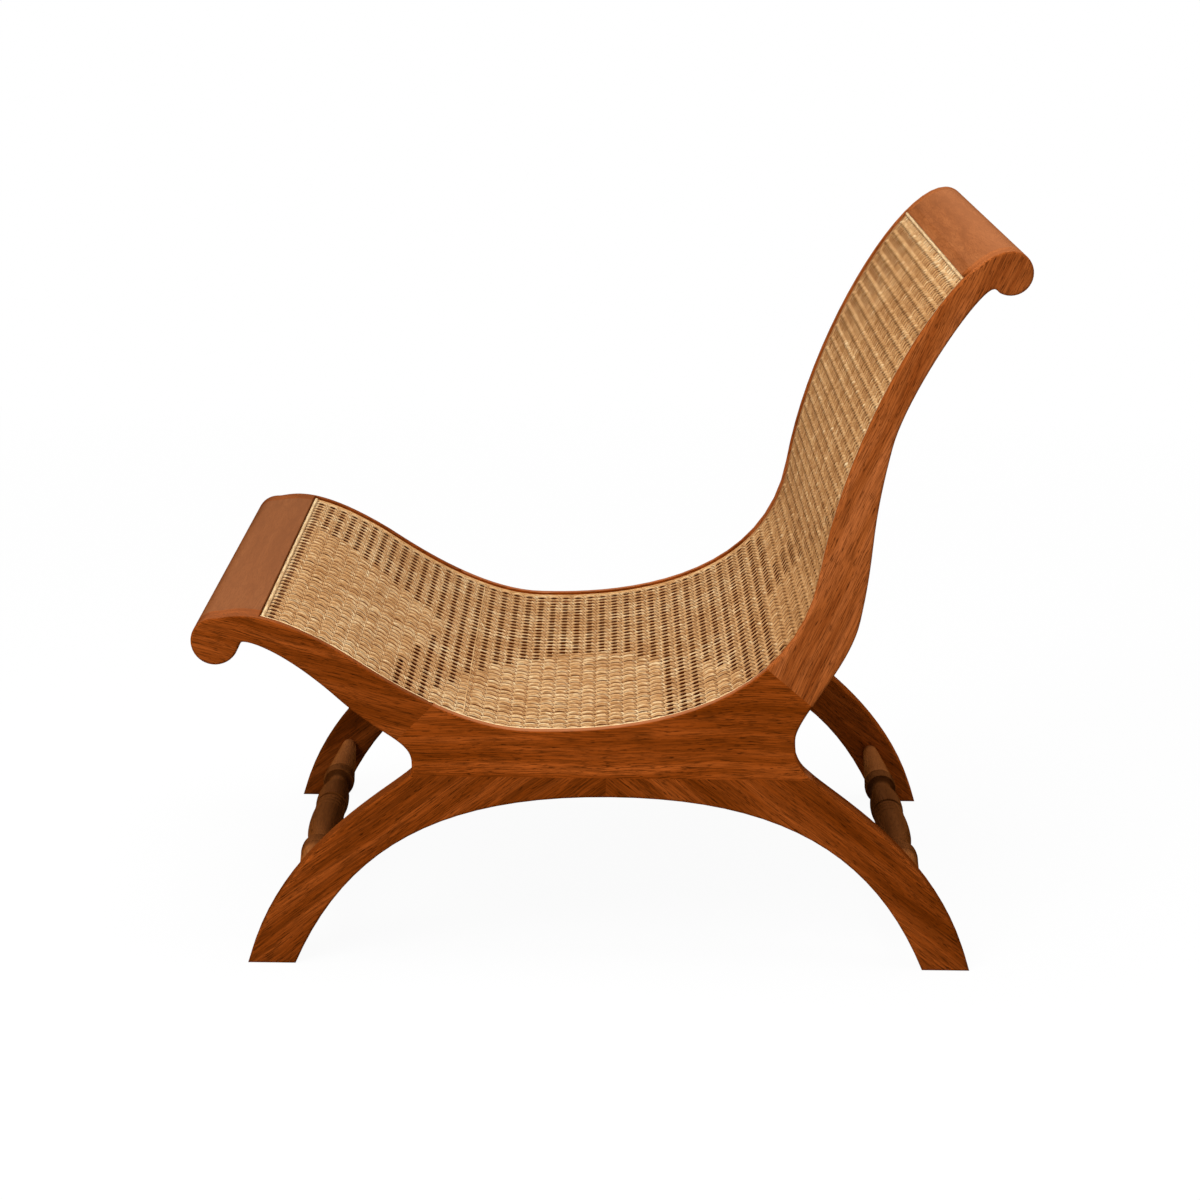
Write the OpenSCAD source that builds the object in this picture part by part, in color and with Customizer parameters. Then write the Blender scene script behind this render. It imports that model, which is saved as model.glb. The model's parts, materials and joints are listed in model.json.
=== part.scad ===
// Low lounge chair: two scroll-ended side panels, woven cane seat and back, turned stretchers.
// The front of the chair faces -X, the width runs along Y, and the feet stand on Z = 0.
// Outlines are drawn in the side view, as [x, z] points.

/* [Overall] */
// Length from the front roll to the crest roll
overall_length = 802; // [760:1:860]
// Width over the two side panels
overall_width = 630; // [560:1:700]
// Height of the crest roll
overall_height = 714; // [680:1:750]
// Thickness of each side panel
panel_thickness = 32; // [30:1:40]

/* [Front roll] */
// Height of the front roll
front_height = 350; // [340:1:362]
// Radius of the front roll
front_roll_radius = 23.5; // [21:0.5:26]
// Distance from the roll's centre back to the notch behind it
front_notch_back = 27.5; // [26:0.5:30]
// Depth of that notch below the roll's centre
front_notch_drop = 0.5; // [0:0.5:3]
// Distance from the roll's centre back to the edge of the cane
front_board_run = 43.3; // [40:0.1:52]

/* [Crest roll] */
// Radius of the crest roll
crest_roll_radius = 21.5; // [19:0.5:24]
// Distance from the roll's centre forward to the notch under it
crest_notch_front = 15.5; // [14:0.5:18]
// Depth of that notch below the roll's centre
crest_notch_drop = 15.5; // [14:0.5:18]
// Distance from the roll's centre forward to the edge of the cane
crest_board_run = 44; // [40:1:52]

/* [Seat line] */
// Place of the front slope along the chair
slope_x = -251; // [-260:1:-242]
// Height of the front slope
slope_z = 314; // [308:1:320]
// Fall of the front slope from the level
slope_angle = 31; // [28:1:34]
// Place of the lowest point along the chair
dip_x = -72; // [-90:1:-50]
// Height of the lowest point
dip_z = 241; // [234:1:248]
// Place of the lower back along the chair
lumbar_x = 207; // [200:1:214]
// Height of the lower back
lumbar_z = 399; // [385:1:413]
// Lean of the lower back from the level
lumbar_angle = 81; // [78:1:84]

/* [Side panel] */
// Place of the middle of the front rail's underside
rail_x = -258; // [-264:1:-252]
// Height of that point
rail_z = 270; // [264:1:276]
// Fall of the rail's underside from the level
rail_angle = 42; // [39:1:45]
// Place of the hollow between the front rail and the leg
front_hollow_x = -187; // [-193:1:-181]
// Height of that hollow
front_hollow_z = 206; // [203:1:210]
// Place of the middle of the post's rear edge
post_x = 273; // [268:1:280]
// Height of that point
post_z = 524; // [510:1:538]
// Lean of the post's rear edge from the level
post_angle = 77; // [75:1:79]
// Place of the post's heel
heel_x = 247; // [243:1:252]
// Height of the heel
heel_z = 353; // [346:1:360]
// Lean of the heel from the level
heel_angle = 79; // [76:1:82]
// Place of the hollow between the post and the leg
rear_hollow_x = 187; // [181:1:193]
// Height of that hollow
rear_hollow_z = 234; // [229:1:239]
// Place where the front mitre meets the seat line
front_mitre_x = -166; // [-172:1:-160]
// Slope of the front mitre
front_mitre_angle = 45; // [42:1:48]
// Place where the rear mitre meets the seat line
rear_mitre_x = 158; // [152:1:162]
// Slope of the rear mitre
rear_mitre_angle = 40; // [37:1:43]

/* [Legs] */
// Middle of the leg arch, measured from the middle of the chair
arch_x = 8; // [0:1:14]
// Height of the level joint between the seat blocks and the legs
leg_joint_z = 194; // [191:1:197]
// Distance from the arch's middle to the leg's upper edge at that joint
leg_shoulder = 197; // [193:1:201]
// Fall of the leg's upper edge at that joint
shoulder_angle = 42; // [38:1:46]
// Distance from the arch's middle to the outside of the foot
foot_reach = 357; // [346:1:368]
// Slope of the outside of the foot from the level
foot_angle = 75; // [72:1:82]
// Length of each foot on the floor
foot_length = 47; // [42:1:54]
// Slope of the inside of the foot from the level
arch_angle = 67; // [62:1:72]
// Height of the arch
arch_height = 174; // [168:1:177]
// Place of the joint between the front and the rear leg
leg_split_x = 3; // [-6:1:12]

/* [Cane] */
// Width of the wooden lip outside the cane
lip_width = 10; // [8:0.5:13]
// Depth of the cane's surface below the lip
cane_recess = 2.5; // [1.5:0.5:3.5]
// Thickness of the woven cane
cane_thickness = 4; // [3:0.5:5]
// Spacing of the cane's crosswise ribs
rib_pitch = 13.85; // [12:0.05:16]
// Distance from the cane's front edge to the middle of its first row of holes
rib_start = 10.1; // [8:0.1:14]
// Depth of the furrows between the ribs where the weave is closed
rib_depth = 0.7; // [0.4:0.1:1.2]
// Depth of the slots between the ribs where the weave is open
slot_depth = 2.5; // [1.5:0.1:3]
// Number of woven bundles side by side, from front to back
bundle_count = 41; // [37:1:45]
// Width of the spline that wedges the cane
spline_width = 4; // [3:0.5:5]
// Thickness of the cane's turned-down hem
hem_thickness = 1.5; // [1:0.25:2]
// Depth of the spline's groove below the rabbet
groove_depth = 4; // [3:0.5:5]

/* [Rolls] */
// Thickness of the front and crest boards
board_thickness = 22; // [20:1:23]
// Ledge of each board under the edge of the cane
board_ledge = 20; // [14:1:24]

/* [Stretchers] */
// Distance from the arch's middle to each stretcher
stretcher_reach = 303; // [298:1:308]
// Height of the stretchers
stretcher_z = 60; // [54:1:66]
// Radius of a stretcher where it meets the leg
stretcher_end_radius = 8; // [7.5:0.5:10]
// Radius of the cones at their wide end
cone_radius = 16.4; // [14:0.2:17]
// Distance from the middle of a stretcher to its cones
cone_start = 150; // [148:1:170]
// Radius of the collars
collar_radius = 17.2; // [16.8:0.1:19]
// Width of the collars
collar_width = 21; // [14:1:24]
// Radius of the necks
neck_radius = 9.5; // [8:0.5:12]
// Radius of the bulbs
bulb_radius = 17.3; // [15:0.1:19]
// Distance from the middle of a stretcher to the middle of each bulb
bulb_middle = 42; // [38:1:46]
// Radius of the beads at the waist
bead_radius = 16.2; // [14:0.2:18]
// Radius of the round tenons
tenon_radius = 7; // [6:0.5:7.5]
// Depth of the round tenons in the legs
tenon_depth = 24; // [18:1:26]

/* [Dowels] */
// Radius of the dowels
dowel_radius = 4; // [3:0.5:4.5]
// Depth of a dowel on each side of a panel joint
dowel_depth = 18; // [12:1:20]
// Depth of the roll dowels in the boards
roll_dowel_depth = 28; // [20:1:40]
// Radial clearance of dowels and tenons in their bores
bore_clearance = 0.1; // [0.05:0.05:0.2]
// Clearance behind the end of a dowel or tenon
end_clearance = 0.6; // [0.4:0.1:0.8]

/* [Hidden] */

// Steps of each curved stretch, and the angle between the points of a roll
curve_steps = 20;
roll_step = 9;
// Least distance along a curve between its own points and the ends of a stretch cut from it
point_gap = 0.5;
// The same distance for the boards, whose undersides lie far from the line
board_gap = 2;
// Overlap of a cutter past the face that it opens
overcut = 2;
// Reach of the half planes that part the panel, longer than any panel
cut_reach = overall_length + overall_height;

rail_wood = "#9a5228";
block_wood = "#8a4520";
post_wood = "#a05a2e";
leg_wood = "#8f4a20";
roll_wood = "#b07040";
turned_wood = "#6b4220";
cane_colour = "#cda573";
spline_colour = "#dcbc8c";
dowel_wood = "#c8a070";

// Direction of an angle in the side view
function heading(angle) = [cos(angle), sin(angle)];

// Point of a cubic curve at the share t of its length
function curve_point(a, b, c, d, t) =
    pow(1 - t, 3) * a + 3 * pow(1 - t, 2) * t * b + 3 * (1 - t) * t * t * c + t * t * t * d;

// One stretch of curve that leaves p at angle_p and comes into q at angle_q. reach says how far it
// follows its tangent at p and at q. The last point is left out.
function stretch(p, angle_p, q, angle_q, reach) = [
    for (i = [0 : curve_steps - 1])
        curve_point(p, p + reach[0] * heading(angle_p), q - reach[1] * heading(angle_q), q, i / curve_steps)
];

// Points of a roll from one angle to another
function roll_arc(centre, radius, from, to) = [
    let (steps = ceil(abs(to - from) / roll_step))
    for (i = [0 : steps]) centre + radius * heading(from + (to - from) * i / steps)
];

function reversed(list) = [for (i = [len(list) - 1 : -1 : 0]) list[i]];

function last(list) = list[len(list) - 1];

// Numbers in rising order
function sorted(list) =
    len(list) < 2 ? list :
    let (middle = list[floor(len(list) / 2)])
    concat(
        sorted([for (value = list) if (value < middle) value]),
        [for (value = list) if (value == middle) value],
        sorted([for (value = list) if (value > middle) value])
    );

// A list without its first point and its last
function between_ends(list) = [for (i = [1 : len(list) - 2]) list[i]];

// Seat line from the front roll to the crest roll
front_centre = [-overall_length / 2 + front_roll_radius, front_height - front_roll_radius];
crest_centre = [overall_length / 2 - crest_roll_radius, overall_height - crest_roll_radius];
front_top = front_centre + [0, front_roll_radius];
crest_top = crest_centre + [0, crest_roll_radius];
slope = [slope_x, slope_z];
dip = [dip_x, dip_z];
lumbar = [lumbar_x, lumbar_z];

front_top_reach = [14, 103];
slope_reach = [21, 74];
dip_reach = [33, 168];
lumbar_reach = [145, 53];

seat_line = concat(
    stretch(front_top, 0, slope, -slope_angle, front_top_reach),
    stretch(slope, -slope_angle, dip, 0, slope_reach),
    stretch(dip, 0, lumbar, lumbar_angle, dip_reach),
    stretch(lumbar, lumbar_angle, crest_top, 0, lumbar_reach),
    [crest_top]
);

// Height of the seat line at x
function seat_height(x) = lookup(x, seat_line);

// Stretch of the seat line between two places along the chair, with its own points kept a gap from them
function seat_between(x0, x1, gap = point_gap) = concat(
    [[x0, seat_height(x0)]],
    [for (p = seat_line) if (p[0] > x0 + gap && p[0] < x1 - gap) p],
    [[x1, seat_height(x1)]]
);

// Unit normal, pointing up from the seat, at the point i of a line
function line_normal(line, i) =
    let (a = line[max(i - 1, 0)], b = line[min(i + 1, len(line) - 1)], d = (b - a) / norm(b - a))
    [-d[1], d[0]];

// A line moved down from the seat by a depth along its normals
function sunk(line, depth) = [for (i = [0 : len(line) - 1]) line[i] - depth * line_normal(line, i)];

// Point at x on the seat line, sunk by a depth
function seat_point(x, depth) = sunk(seat_between(x, x + 2 * point_gap), depth)[0];

// Upper part of a side panel: rolls, seat line, rear edge, and the two hollows above the legs
front_notch = front_centre + [front_notch_back, -front_notch_drop];
crest_notch = crest_centre + [-crest_notch_front, -crest_notch_drop];
rail_middle = [rail_x, rail_z];
post_middle = [post_x, post_z];
heel = [heel_x, heel_z];
front_hollow = [front_hollow_x, front_hollow_z];
rear_hollow = [rear_hollow_x, rear_hollow_z];
front_shoulder = [arch_x - leg_shoulder, leg_joint_z];
rear_shoulder = [arch_x + leg_shoulder, leg_joint_z];

// Angles at which the rolls run into their notches
front_roll_end = 325;
crest_roll_end = -115;
front_roll_points = roll_arc(front_centre, front_roll_radius, 90, front_roll_end);
crest_roll_points = roll_arc(crest_centre, crest_roll_radius, 90, crest_roll_end);

front_notch_reach = [7, 4];
front_rail_reach = [10, 66];
front_hollow_reach = [55, 23];
front_shoulder_reach = [6, 4];
front_underside = concat(
    stretch(last(front_roll_points), front_roll_end - 270, front_notch, 0, front_notch_reach),
    stretch(front_notch, 0, rail_middle, -rail_angle, front_rail_reach),
    stretch(rail_middle, -rail_angle, front_hollow, -90, front_hollow_reach),
    stretch(front_hollow, -90, front_shoulder, shoulder_angle - 180, front_shoulder_reach),
    [front_shoulder]
);

crest_notch_reach = [3, 3];
post_reach = [14, 51];
heel_reach = [91, 77];
rear_hollow_reach = [48, 22];
rear_shoulder_reach = [28, 9];
rear_edge = concat(
    stretch(last(crest_roll_points), crest_roll_end - 90, crest_notch, 180, crest_notch_reach),
    stretch(crest_notch, 180, post_middle, post_angle + 180, post_reach),
    stretch(post_middle, post_angle + 180, heel, heel_angle + 180, heel_reach),
    stretch(heel, heel_angle + 180, rear_hollow, 270, rear_hollow_reach),
    stretch(rear_hollow, 270, rear_shoulder, -shoulder_angle, rear_shoulder_reach),
    [rear_shoulder]
);

upper_outline = concat(
    seat_line,
    between_ends(crest_roll_points),
    rear_edge,
    reversed(front_underside),
    reversed(between_ends(front_roll_points))
);

// Legs: the rear half of the arch, from its shoulder down to the floor and up to its crown, and
// its mirror image
leg_reach = [35, 117];
arch_reach = [130, 167];
half_arch = concat(
    stretch([leg_shoulder, leg_joint_z], -shoulder_angle, [foot_reach, 0], -foot_angle, leg_reach),
    [[foot_reach, 0]],
    stretch([foot_reach - foot_length, 0], 180 - arch_angle, [0, arch_height], 180, arch_reach)
);
arch_outline = concat(
    [for (p = half_arch) [arch_x + p[0], p[1]]],
    [[arch_x, arch_height]],
    [for (p = reversed(half_arch)) [arch_x - p[0], p[1]]]
);

// Mitres: where each starts on the seat line
front_mitre = [front_mitre_x, seat_height(front_mitre_x)];
rear_mitre = [rear_mitre_x, seat_height(rear_mitre_x)];

// Places across the chair: inner faces, middle and lips of the panels, and edge of the cane
inner_y = overall_width / 2 - panel_thickness;
panel_middle_y = overall_width / 2 - panel_thickness / 2;
lip_y = overall_width / 2 - lip_width;
cane_y = lip_y - spline_width;

// Bed of the cane, drawn along the seat line, with its depths under that line
cane_front_x = front_centre[0] + front_board_run;
cane_top_x = crest_centre[0] - crest_board_run;
cane_line = seat_between(cane_front_x, cane_top_x);
rabbet_depth = cane_recess + cane_thickness;
hem_depth = rabbet_depth + groove_depth;
groove_width = spline_width + hem_thickness;

// Lengths along the cane from its front edge to each point of its line
function run_lengths(line, i = 0, total = 0) =
    i == len(line) - 1 ? [total] : concat([total], run_lengths(line, i + 1, total + norm(line[i + 1] - line[i])));
cane_runs = run_lengths(cane_line);
cane_length = last(cane_runs);
run_to_x = [for (i = [0 : len(cane_line) - 1]) [cane_runs[i], cane_line[i][0]]];
run_to_z = [for (i = [0 : len(cane_line) - 1]) [cane_runs[i], cane_line[i][1]]];

function run_point(run) = [lookup(run, run_to_x), lookup(run, run_to_z)];

// Point at a run along the cane, sunk by a depth under the seat line
function cane_point(run, depth) =
    let (a = run_point(max(run - point_gap, 0)), b = run_point(min(run + point_gap, cane_length)))
    let (d = (b - a) / norm(b - a))
    run_point(run) + depth * [d[1], -d[0]];

// Line under the seat at a depth, from the inner wall of one end groove to that of the other
function cane_underline(depth) =
    let (start = groove_width + point_gap, end = cane_length - groove_width - point_gap)
    let (line = sunk(cane_line, depth))
    concat(
        [cane_point(groove_width, depth)],
        [for (i = [0 : len(line) - 1]) if (cane_runs[i] > start && cane_runs[i] < end) line[i]],
        [cane_point(cane_length - groove_width, depth)]
    );

// Band of the bed between two depths, over its whole length
function bed_line(depth) =
    concat([cane_point(0, depth)], cane_underline(depth), [cane_point(cane_length, depth)]);
function bed_band(depth0, depth1) = concat(bed_line(depth0), reversed(bed_line(depth1)));

// Four-sided patch of the bed between two runs and two depths
function bed_patch(run0, run1, depth0, depth1) = [
    cane_point(run0, depth0), cane_point(run1, depth0), cane_point(run1, depth1), cane_point(run0, depth1)
];

// Slab of a side-view outline between two places across the chair
module slab(y0, y1) {
    translate([0, y1, 0])
        rotate([90, 0, 0])
            linear_extrude(y1 - y0)
                children();
}

// Slab between two distances from the middle of the chair, on one side
module side_slab(side, near, far) {
    slab(side > 0 ? near : -far, side > 0 ? far : -near)
        children();
}

// Everything to the left of a line through a point, seen along its heading
module left_of(point, angle) {
    translate(point)
        rotate(angle)
            translate([-cut_reach, 0])
                square([2 * cut_reach, cut_reach]);
}

// Round peg in the middle of a panel's thickness, centred on a joint, along a side-view angle
module panel_peg(place, side, radius, reach) {
    translate([place[0][0], side * panel_middle_y, place[0][1]])
        rotate([0, 90 - place[1], 0])
            translate([0, 0, -reach])
                cylinder(r = radius, h = 2 * reach, $fn = 32);
}

// Places of the panel dowels, each a point and an angle. Two cross each mitre, at these distances
// from the seat line, two join each leg to its seat block, and one joins the two legs.
mitre_dowel_steps = [24, 39];
leg_dowel_offsets = [-170, -122, 122, 170];
mitre_dowel_places = concat(
    [for (s = mitre_dowel_steps) [front_mitre - s * heading(front_mitre_angle), front_mitre_angle + 90]],
    [for (s = mitre_dowel_steps) [rear_mitre + s * heading(-rear_mitre_angle), 90 - rear_mitre_angle]]
);
leg_dowel_places = [for (x = leg_dowel_offsets) [[arch_x + x, leg_joint_z], 90]];
arch_dowel_places = [[[leg_split_x, (arch_height + leg_joint_z) / 2], 0]];

module dowel_set(places) {
    color(dowel_wood)
        for (side = [-1, 1], place = places)
            panel_peg(place, side, dowel_radius, dowel_depth);
}

module dowel_bores(places, side) {
    for (place = places)
        panel_peg(place, side, dowel_radius + bore_clearance, dowel_depth + end_clearance);
}

// Pegs between the rolls and the panels: one in the centre of each roll, one in the board behind it
roll_dowel_back = 31;
roll_dowel_places = [
    front_centre,
    seat_point(front_centre[0] + roll_dowel_back, board_thickness / 2),
    crest_centre,
    seat_point(crest_centre[0] - roll_dowel_back, board_thickness / 2)
];

module roll_pegs(radius, panel_depth, board_depth) {
    for (side = [-1, 1], place = roll_dowel_places)
        translate([place[0], side * (inner_y - board_depth), place[1]])
            rotate([-90 * side, 0, 0])
                cylinder(r = radius, h = board_depth + panel_depth, $fn = 32);
}

// Round tenons of one stretcher: a depth into each leg and a length back into the spindle
module tenons(direction, radius, depth, root) {
    for (side = [-1, 1])
        translate([arch_x + direction * stretcher_reach, side * (inner_y - root), stretcher_z])
            rotate([-90 * side, 0, 0])
                cylinder(r = radius, h = root + depth, $fn = 64);
}

// Rabbet for the cane and grooves for its splines, cut from the panels and the rolls
module cane_bed() {
    slab(-lip_y, lip_y) {
        polygon(bed_band(-overcut, rabbet_depth));
        polygon(bed_patch(0, groove_width, rabbet_depth - overcut, hem_depth));
        polygon(bed_patch(cane_length - groove_width, cane_length, rabbet_depth - overcut, hem_depth));
    }
    for (side = [-1, 1])
        side_slab(side, lip_y - groove_width, lip_y)
            polygon(bed_band(rabbet_depth - overcut, hem_depth));
}

// One upper board of a side panel: an outline through the thickness, less the bed and the bores
module panel_board(side) {
    difference() {
        side_slab(side, inner_y, overall_width / 2)
            children();
        cane_bed();
        dowel_bores(concat(mitre_dowel_places, leg_dowel_places), side);
        roll_pegs(dowel_radius + bore_clearance, dowel_depth + end_clearance, overcut);
    }
}

module front_rail(side) {
    color(rail_wood)
        panel_board(side)
            intersection() {
                polygon(upper_outline);
                left_of(front_mitre, front_mitre_angle);
            }
}

module seat_block(side) {
    color(block_wood)
        panel_board(side)
            difference() {
                polygon(upper_outline);
                left_of(front_mitre, front_mitre_angle);
                left_of(rear_mitre, -rear_mitre_angle);
            }
}

module back_post(side) {
    color(post_wood)
        panel_board(side)
            intersection() {
                polygon(upper_outline);
                left_of(rear_mitre, -rear_mitre_angle);
            }
}

// Half of the arch on one side of the split, with the bores for its dowels and its stretcher
module leg(side, direction) {
    color(leg_wood)
        difference() {
            side_slab(side, inner_y, overall_width / 2)
                intersection() {
                    polygon(arch_outline);
                    left_of([leg_split_x, 0], direction < 0 ? 90 : -90);
                }
            dowel_bores(concat(leg_dowel_places, arch_dowel_places), side);
            tenons(direction, tenon_radius + bore_clearance, tenon_depth + end_clearance, overcut);
        }
}

// Rolls: the round nose of the side panels and a board that runs back under the edge of the cane
module roll(section) {
    color(roll_wood)
        difference() {
            slab(-inner_y, inner_y)
                polygon(section);
            cane_bed();
            roll_pegs(dowel_radius + bore_clearance, overcut, roll_dowel_depth + end_clearance);
        }
}

module front_roll() {
    board_line = seat_between(front_top[0], cane_front_x + board_ledge, board_gap);
    roll(concat(
        board_line,
        reversed([for (p = sunk(board_line, board_thickness)) if (p[0] > front_notch[0] + point_gap) p]),
        [last(front_roll_points)],
        reversed(between_ends(front_roll_points))
    ));
}

module crest_roll() {
    board_line = seat_between(cane_top_x - board_ledge, crest_top[0], board_gap);
    roll(concat(
        board_line,
        between_ends(crest_roll_points),
        [last(crest_roll_points)],
        reversed([for (p = sunk(board_line, board_thickness)) if (p[0] < crest_notch[0] - point_gap) p])
    ));
}

// Turned profile of half a stretcher, as [distance from its middle, radius], made of swellings.
// A swelling is an arc of an ellipse between two distances, with its crown at the middle distance.
function swelling(from, to, middle, half, base, crown, steps) = [
    for (i = [0 : steps])
        let (y = from + (to - from) * i / steps)
        [y, base + (crown - base) * sqrt(max(0, 1 - pow((y - middle) / half, 2)))]
];

// Waist: a middle bead and an outer bead on each side of it, closed by a deep groove
bead_half = 3.5;
bead_rise = 1.4;
waist_groove_depth = 2.6;
waist_groove_width = 1.5;
waist_half = 3 * bead_half + waist_groove_width;
bulb_half = 60;
// Cove: a hollow quarter of an ellipse that climbs from the neck to the collar
cove_width = 21;
cove_steps = 6;
// Fine ring and flat band between the collar and the cone
ring_width = 1.6;
ring_depth = 0.9;
ring_band = 4;
collar_end = cone_start - ring_band;
collar_start = collar_end - collar_width;
cove_start = collar_start - cove_width;

half_profile = concat(
    swelling(0, bead_half, 0, bead_half, bead_radius - bead_rise, bead_radius, 3),
    between_ends(swelling(
        bead_half, 3 * bead_half, 2 * bead_half, bead_half, bead_radius - bead_rise, bead_radius, 6
    )),
    [for (y = [3 * bead_half, waist_half]) [y, bead_radius - waist_groove_depth]],
    swelling(waist_half, cove_start - point_gap, bulb_middle, bulb_half, neck_radius, bulb_radius, 14),
    [for (i = [0 : cove_steps])
        let (turn = 90 * i / cove_steps)
        [cove_start + cove_width * sin(turn), neck_radius + (cone_radius - neck_radius) * (1 - cos(turn))]],
    between_ends(swelling(
        collar_start, collar_end, (collar_start + collar_end) / 2, collar_width / 2, cone_radius, collar_radius, 6
    )),
    [[collar_end, cone_radius], [collar_end + ring_width / 2, cone_radius - ring_depth]],
    [[collar_end + ring_width, cone_radius], [cone_start, cone_radius]],
    [[inner_y, stretcher_end_radius], [inner_y, 0]]
);

module stretcher(direction) {
    color(turned_wood) {
        translate([arch_x + direction * stretcher_reach, 0, stretcher_z])
            rotate([90, 0, 0])
                rotate_extrude($fn = 64)
                    polygon(concat(
                        [for (p = reversed(half_profile)) [p[1], p[0]]],
                        [for (i = [1 : len(half_profile) - 1]) [half_profile[i][1], -half_profile[i][0]]]
                    ));
        tenons(direction, tenon_radius, tenon_depth, overcut);
    }
}

// Woven cane: ribbed sheet on the rabbet, with its hem turned down into the grooves
rib_count = floor((cane_length - rib_start - groove_width) / rib_pitch);
// Shares of the pitch at which a rib's flat top starts and ends
rib_shoulders = [0.25, 0.75];
cane_top = concat(
    [cane_point(spline_width, cane_recess)],
    [for (i = [0 : rib_count - 1], share = concat([0], rib_shoulders))
        cane_point(rib_start + (i + share) * rib_pitch, cane_recess + (share == 0 ? rib_depth : 0))],
    [cane_point(cane_length - spline_width, cane_recess)]
);

// Fields where the weave is closed, as corners in percent of the cane's length and of its half width
closed_fields = [
    [[1.8, 53], [5.1, 50], [10.3, 35], [16.5, 25], [19.2, 13], [19.3, 0], [17.6, -20], [16.2, -50],
     [14.8, -73], [14.1, -101], [1.8, -101]],
    [[19.8, -101], [19.8, -78], [22.5, -47], [25.4, -22], [28.4, -7], [31.7, 1], [34.3, 5],
     [36.7, 5], [39.8, 0], [41.9, -9], [43.6, -21], [43.9, -40], [43.9, -101]],
    [[48.6, -101], [48.3, -46], [49.4, -46], [49.9, -60], [51.1, -63], [51.3, -75], [52.6, -77],
     [52.9, -101]],
    [[58.5, -101], [56.9, -80], [56.9, -9], [58.5, -7], [61.4, -15], [65.6, -40], [68.7, -66],
     [72.4, -101]],
    [[74.7, -101], [70.1, -66], [67.2, -37], [63, -7], [65.3, 7], [64.8, 21], [58, 24],
     [57.3, 101], [80.6, 101], [82, 85], [85.2, 65], [89.1, 49], [94.3, 39], [101, 33],
     [101, -101]]
];

// Places across the chair where the middle of a column meets the fields' edges, from left to right
function field_crossings(run) =
    let (share = 100 * run / cane_length)
    sorted([
        for (field = closed_fields, i = [0 : len(field) - 1])
            let (a = field[i], b = field[(i + 1) % len(field)])
            if ((a[0] < share) != (b[0] < share))
                (a[1] + (share - a[0]) * (b[1] - a[1]) / (b[0] - a[0])) * cane_y / 100
    ]);

// Open stretches of a column: a slot starts before the first hole between two fields and ends after
// the last, with holes between the bundles and none at the sides
bundle_pitch = 2 * cane_y / bundle_count;
hole_half = 0.39 * bundle_pitch;
slot_share = 0.46;
function slots(run) =
    let (edges = concat([-cane_y], field_crossings(run), [cane_y]))
    [
        for (i = [0 : 2 : len(edges) - 2])
            let (first = max(1, ceil((edges[i] + cane_y) / bundle_pitch)))
            let (last = min(bundle_count - 1, floor((edges[i + 1] + cane_y) / bundle_pitch)))
            if (last >= first)
                [first * bundle_pitch - hole_half - cane_y, last * bundle_pitch + hole_half - cane_y]
    ];

// Cutter of one column's slots, from above the cane down to their depth, clear of the hem
module column_slots(run) {
    reach = slot_share * rib_pitch / 2;
    start = max(run - reach, groove_width + point_gap);
    for (slot = slots(run))
        slab(slot[0], slot[1])
            polygon(bed_patch(start, run + reach, cane_recess - overcut, cane_recess + slot_depth));
}

// Section of the cane between its side hems, and section of the side hems themselves
cane_middle = concat(
    cane_top,
    [cane_point(cane_length - spline_width, hem_depth), cane_point(cane_length - groove_width, hem_depth)],
    reversed(cane_underline(rabbet_depth)),
    [cane_point(groove_width, hem_depth), cane_point(spline_width, hem_depth)]
);
cane_side = concat(
    cane_top,
    [cane_point(cane_length - spline_width, hem_depth)],
    reversed(cane_underline(hem_depth)),
    [cane_point(spline_width, hem_depth)]
);

module cane_seat() {
    color(cane_colour) {
        difference() {
            slab(hem_thickness - cane_y, cane_y - hem_thickness)
                polygon(cane_middle);
            for (i = [0 : rib_count - 1])
                column_slots(rib_start + i * rib_pitch);
        }
        for (side = [-1, 1])
            side_slab(side, cane_y - hem_thickness, cane_y)
                polygon(cane_side);
    }
}

module cane_spline_side(side) {
    color(spline_colour)
        side_slab(side, cane_y, lip_y)
            polygon(bed_band(cane_recess, hem_depth));
}

module cane_spline_end(start) {
    color(spline_colour)
        slab(-cane_y, cane_y)
            polygon(bed_patch(start, start + spline_width, cane_recess, hem_depth));
}

module roll_dowels() {
    color(dowel_wood)
        roll_pegs(dowel_radius, dowel_depth, roll_dowel_depth);
}

front_rail(-1);  // front_rail_left
front_rail(1);  // front_rail_right
seat_block(-1);  // seat_block_left
seat_block(1);  // seat_block_right
back_post(-1);  // back_post_left
back_post(1);  // back_post_right
leg(-1, -1);  // front_leg_left
leg(1, -1);  // front_leg_right
leg(-1, 1);  // rear_leg_left
leg(1, 1);  // rear_leg_right
front_roll();
crest_roll();
stretcher(-1);  // front_stretcher
stretcher(1);  // rear_stretcher
cane_seat();
cane_spline_side(-1);  // cane_spline_left
cane_spline_side(1);  // cane_spline_right
cane_spline_end(0);  // cane_spline_front
cane_spline_end(cane_length - spline_width);  // cane_spline_top
dowel_set(mitre_dowel_places);  // mitre_dowels
dowel_set(leg_dowel_places);  // leg_dowels
dowel_set(arch_dowel_places);  // arch_dowels
roll_dowels();
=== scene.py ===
# Low lounge chair: scroll-ended side panels in oiled hardwood, a woven cane seat and back, turned
# stretchers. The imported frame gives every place. Side views are [x, z] in millimetres, the mesh
# points are in metres, and the width of the chair runs along y.
import json
import math
import bmesh
import bpy
import numpy as np
from mathutils import Matrix, Vector

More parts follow.
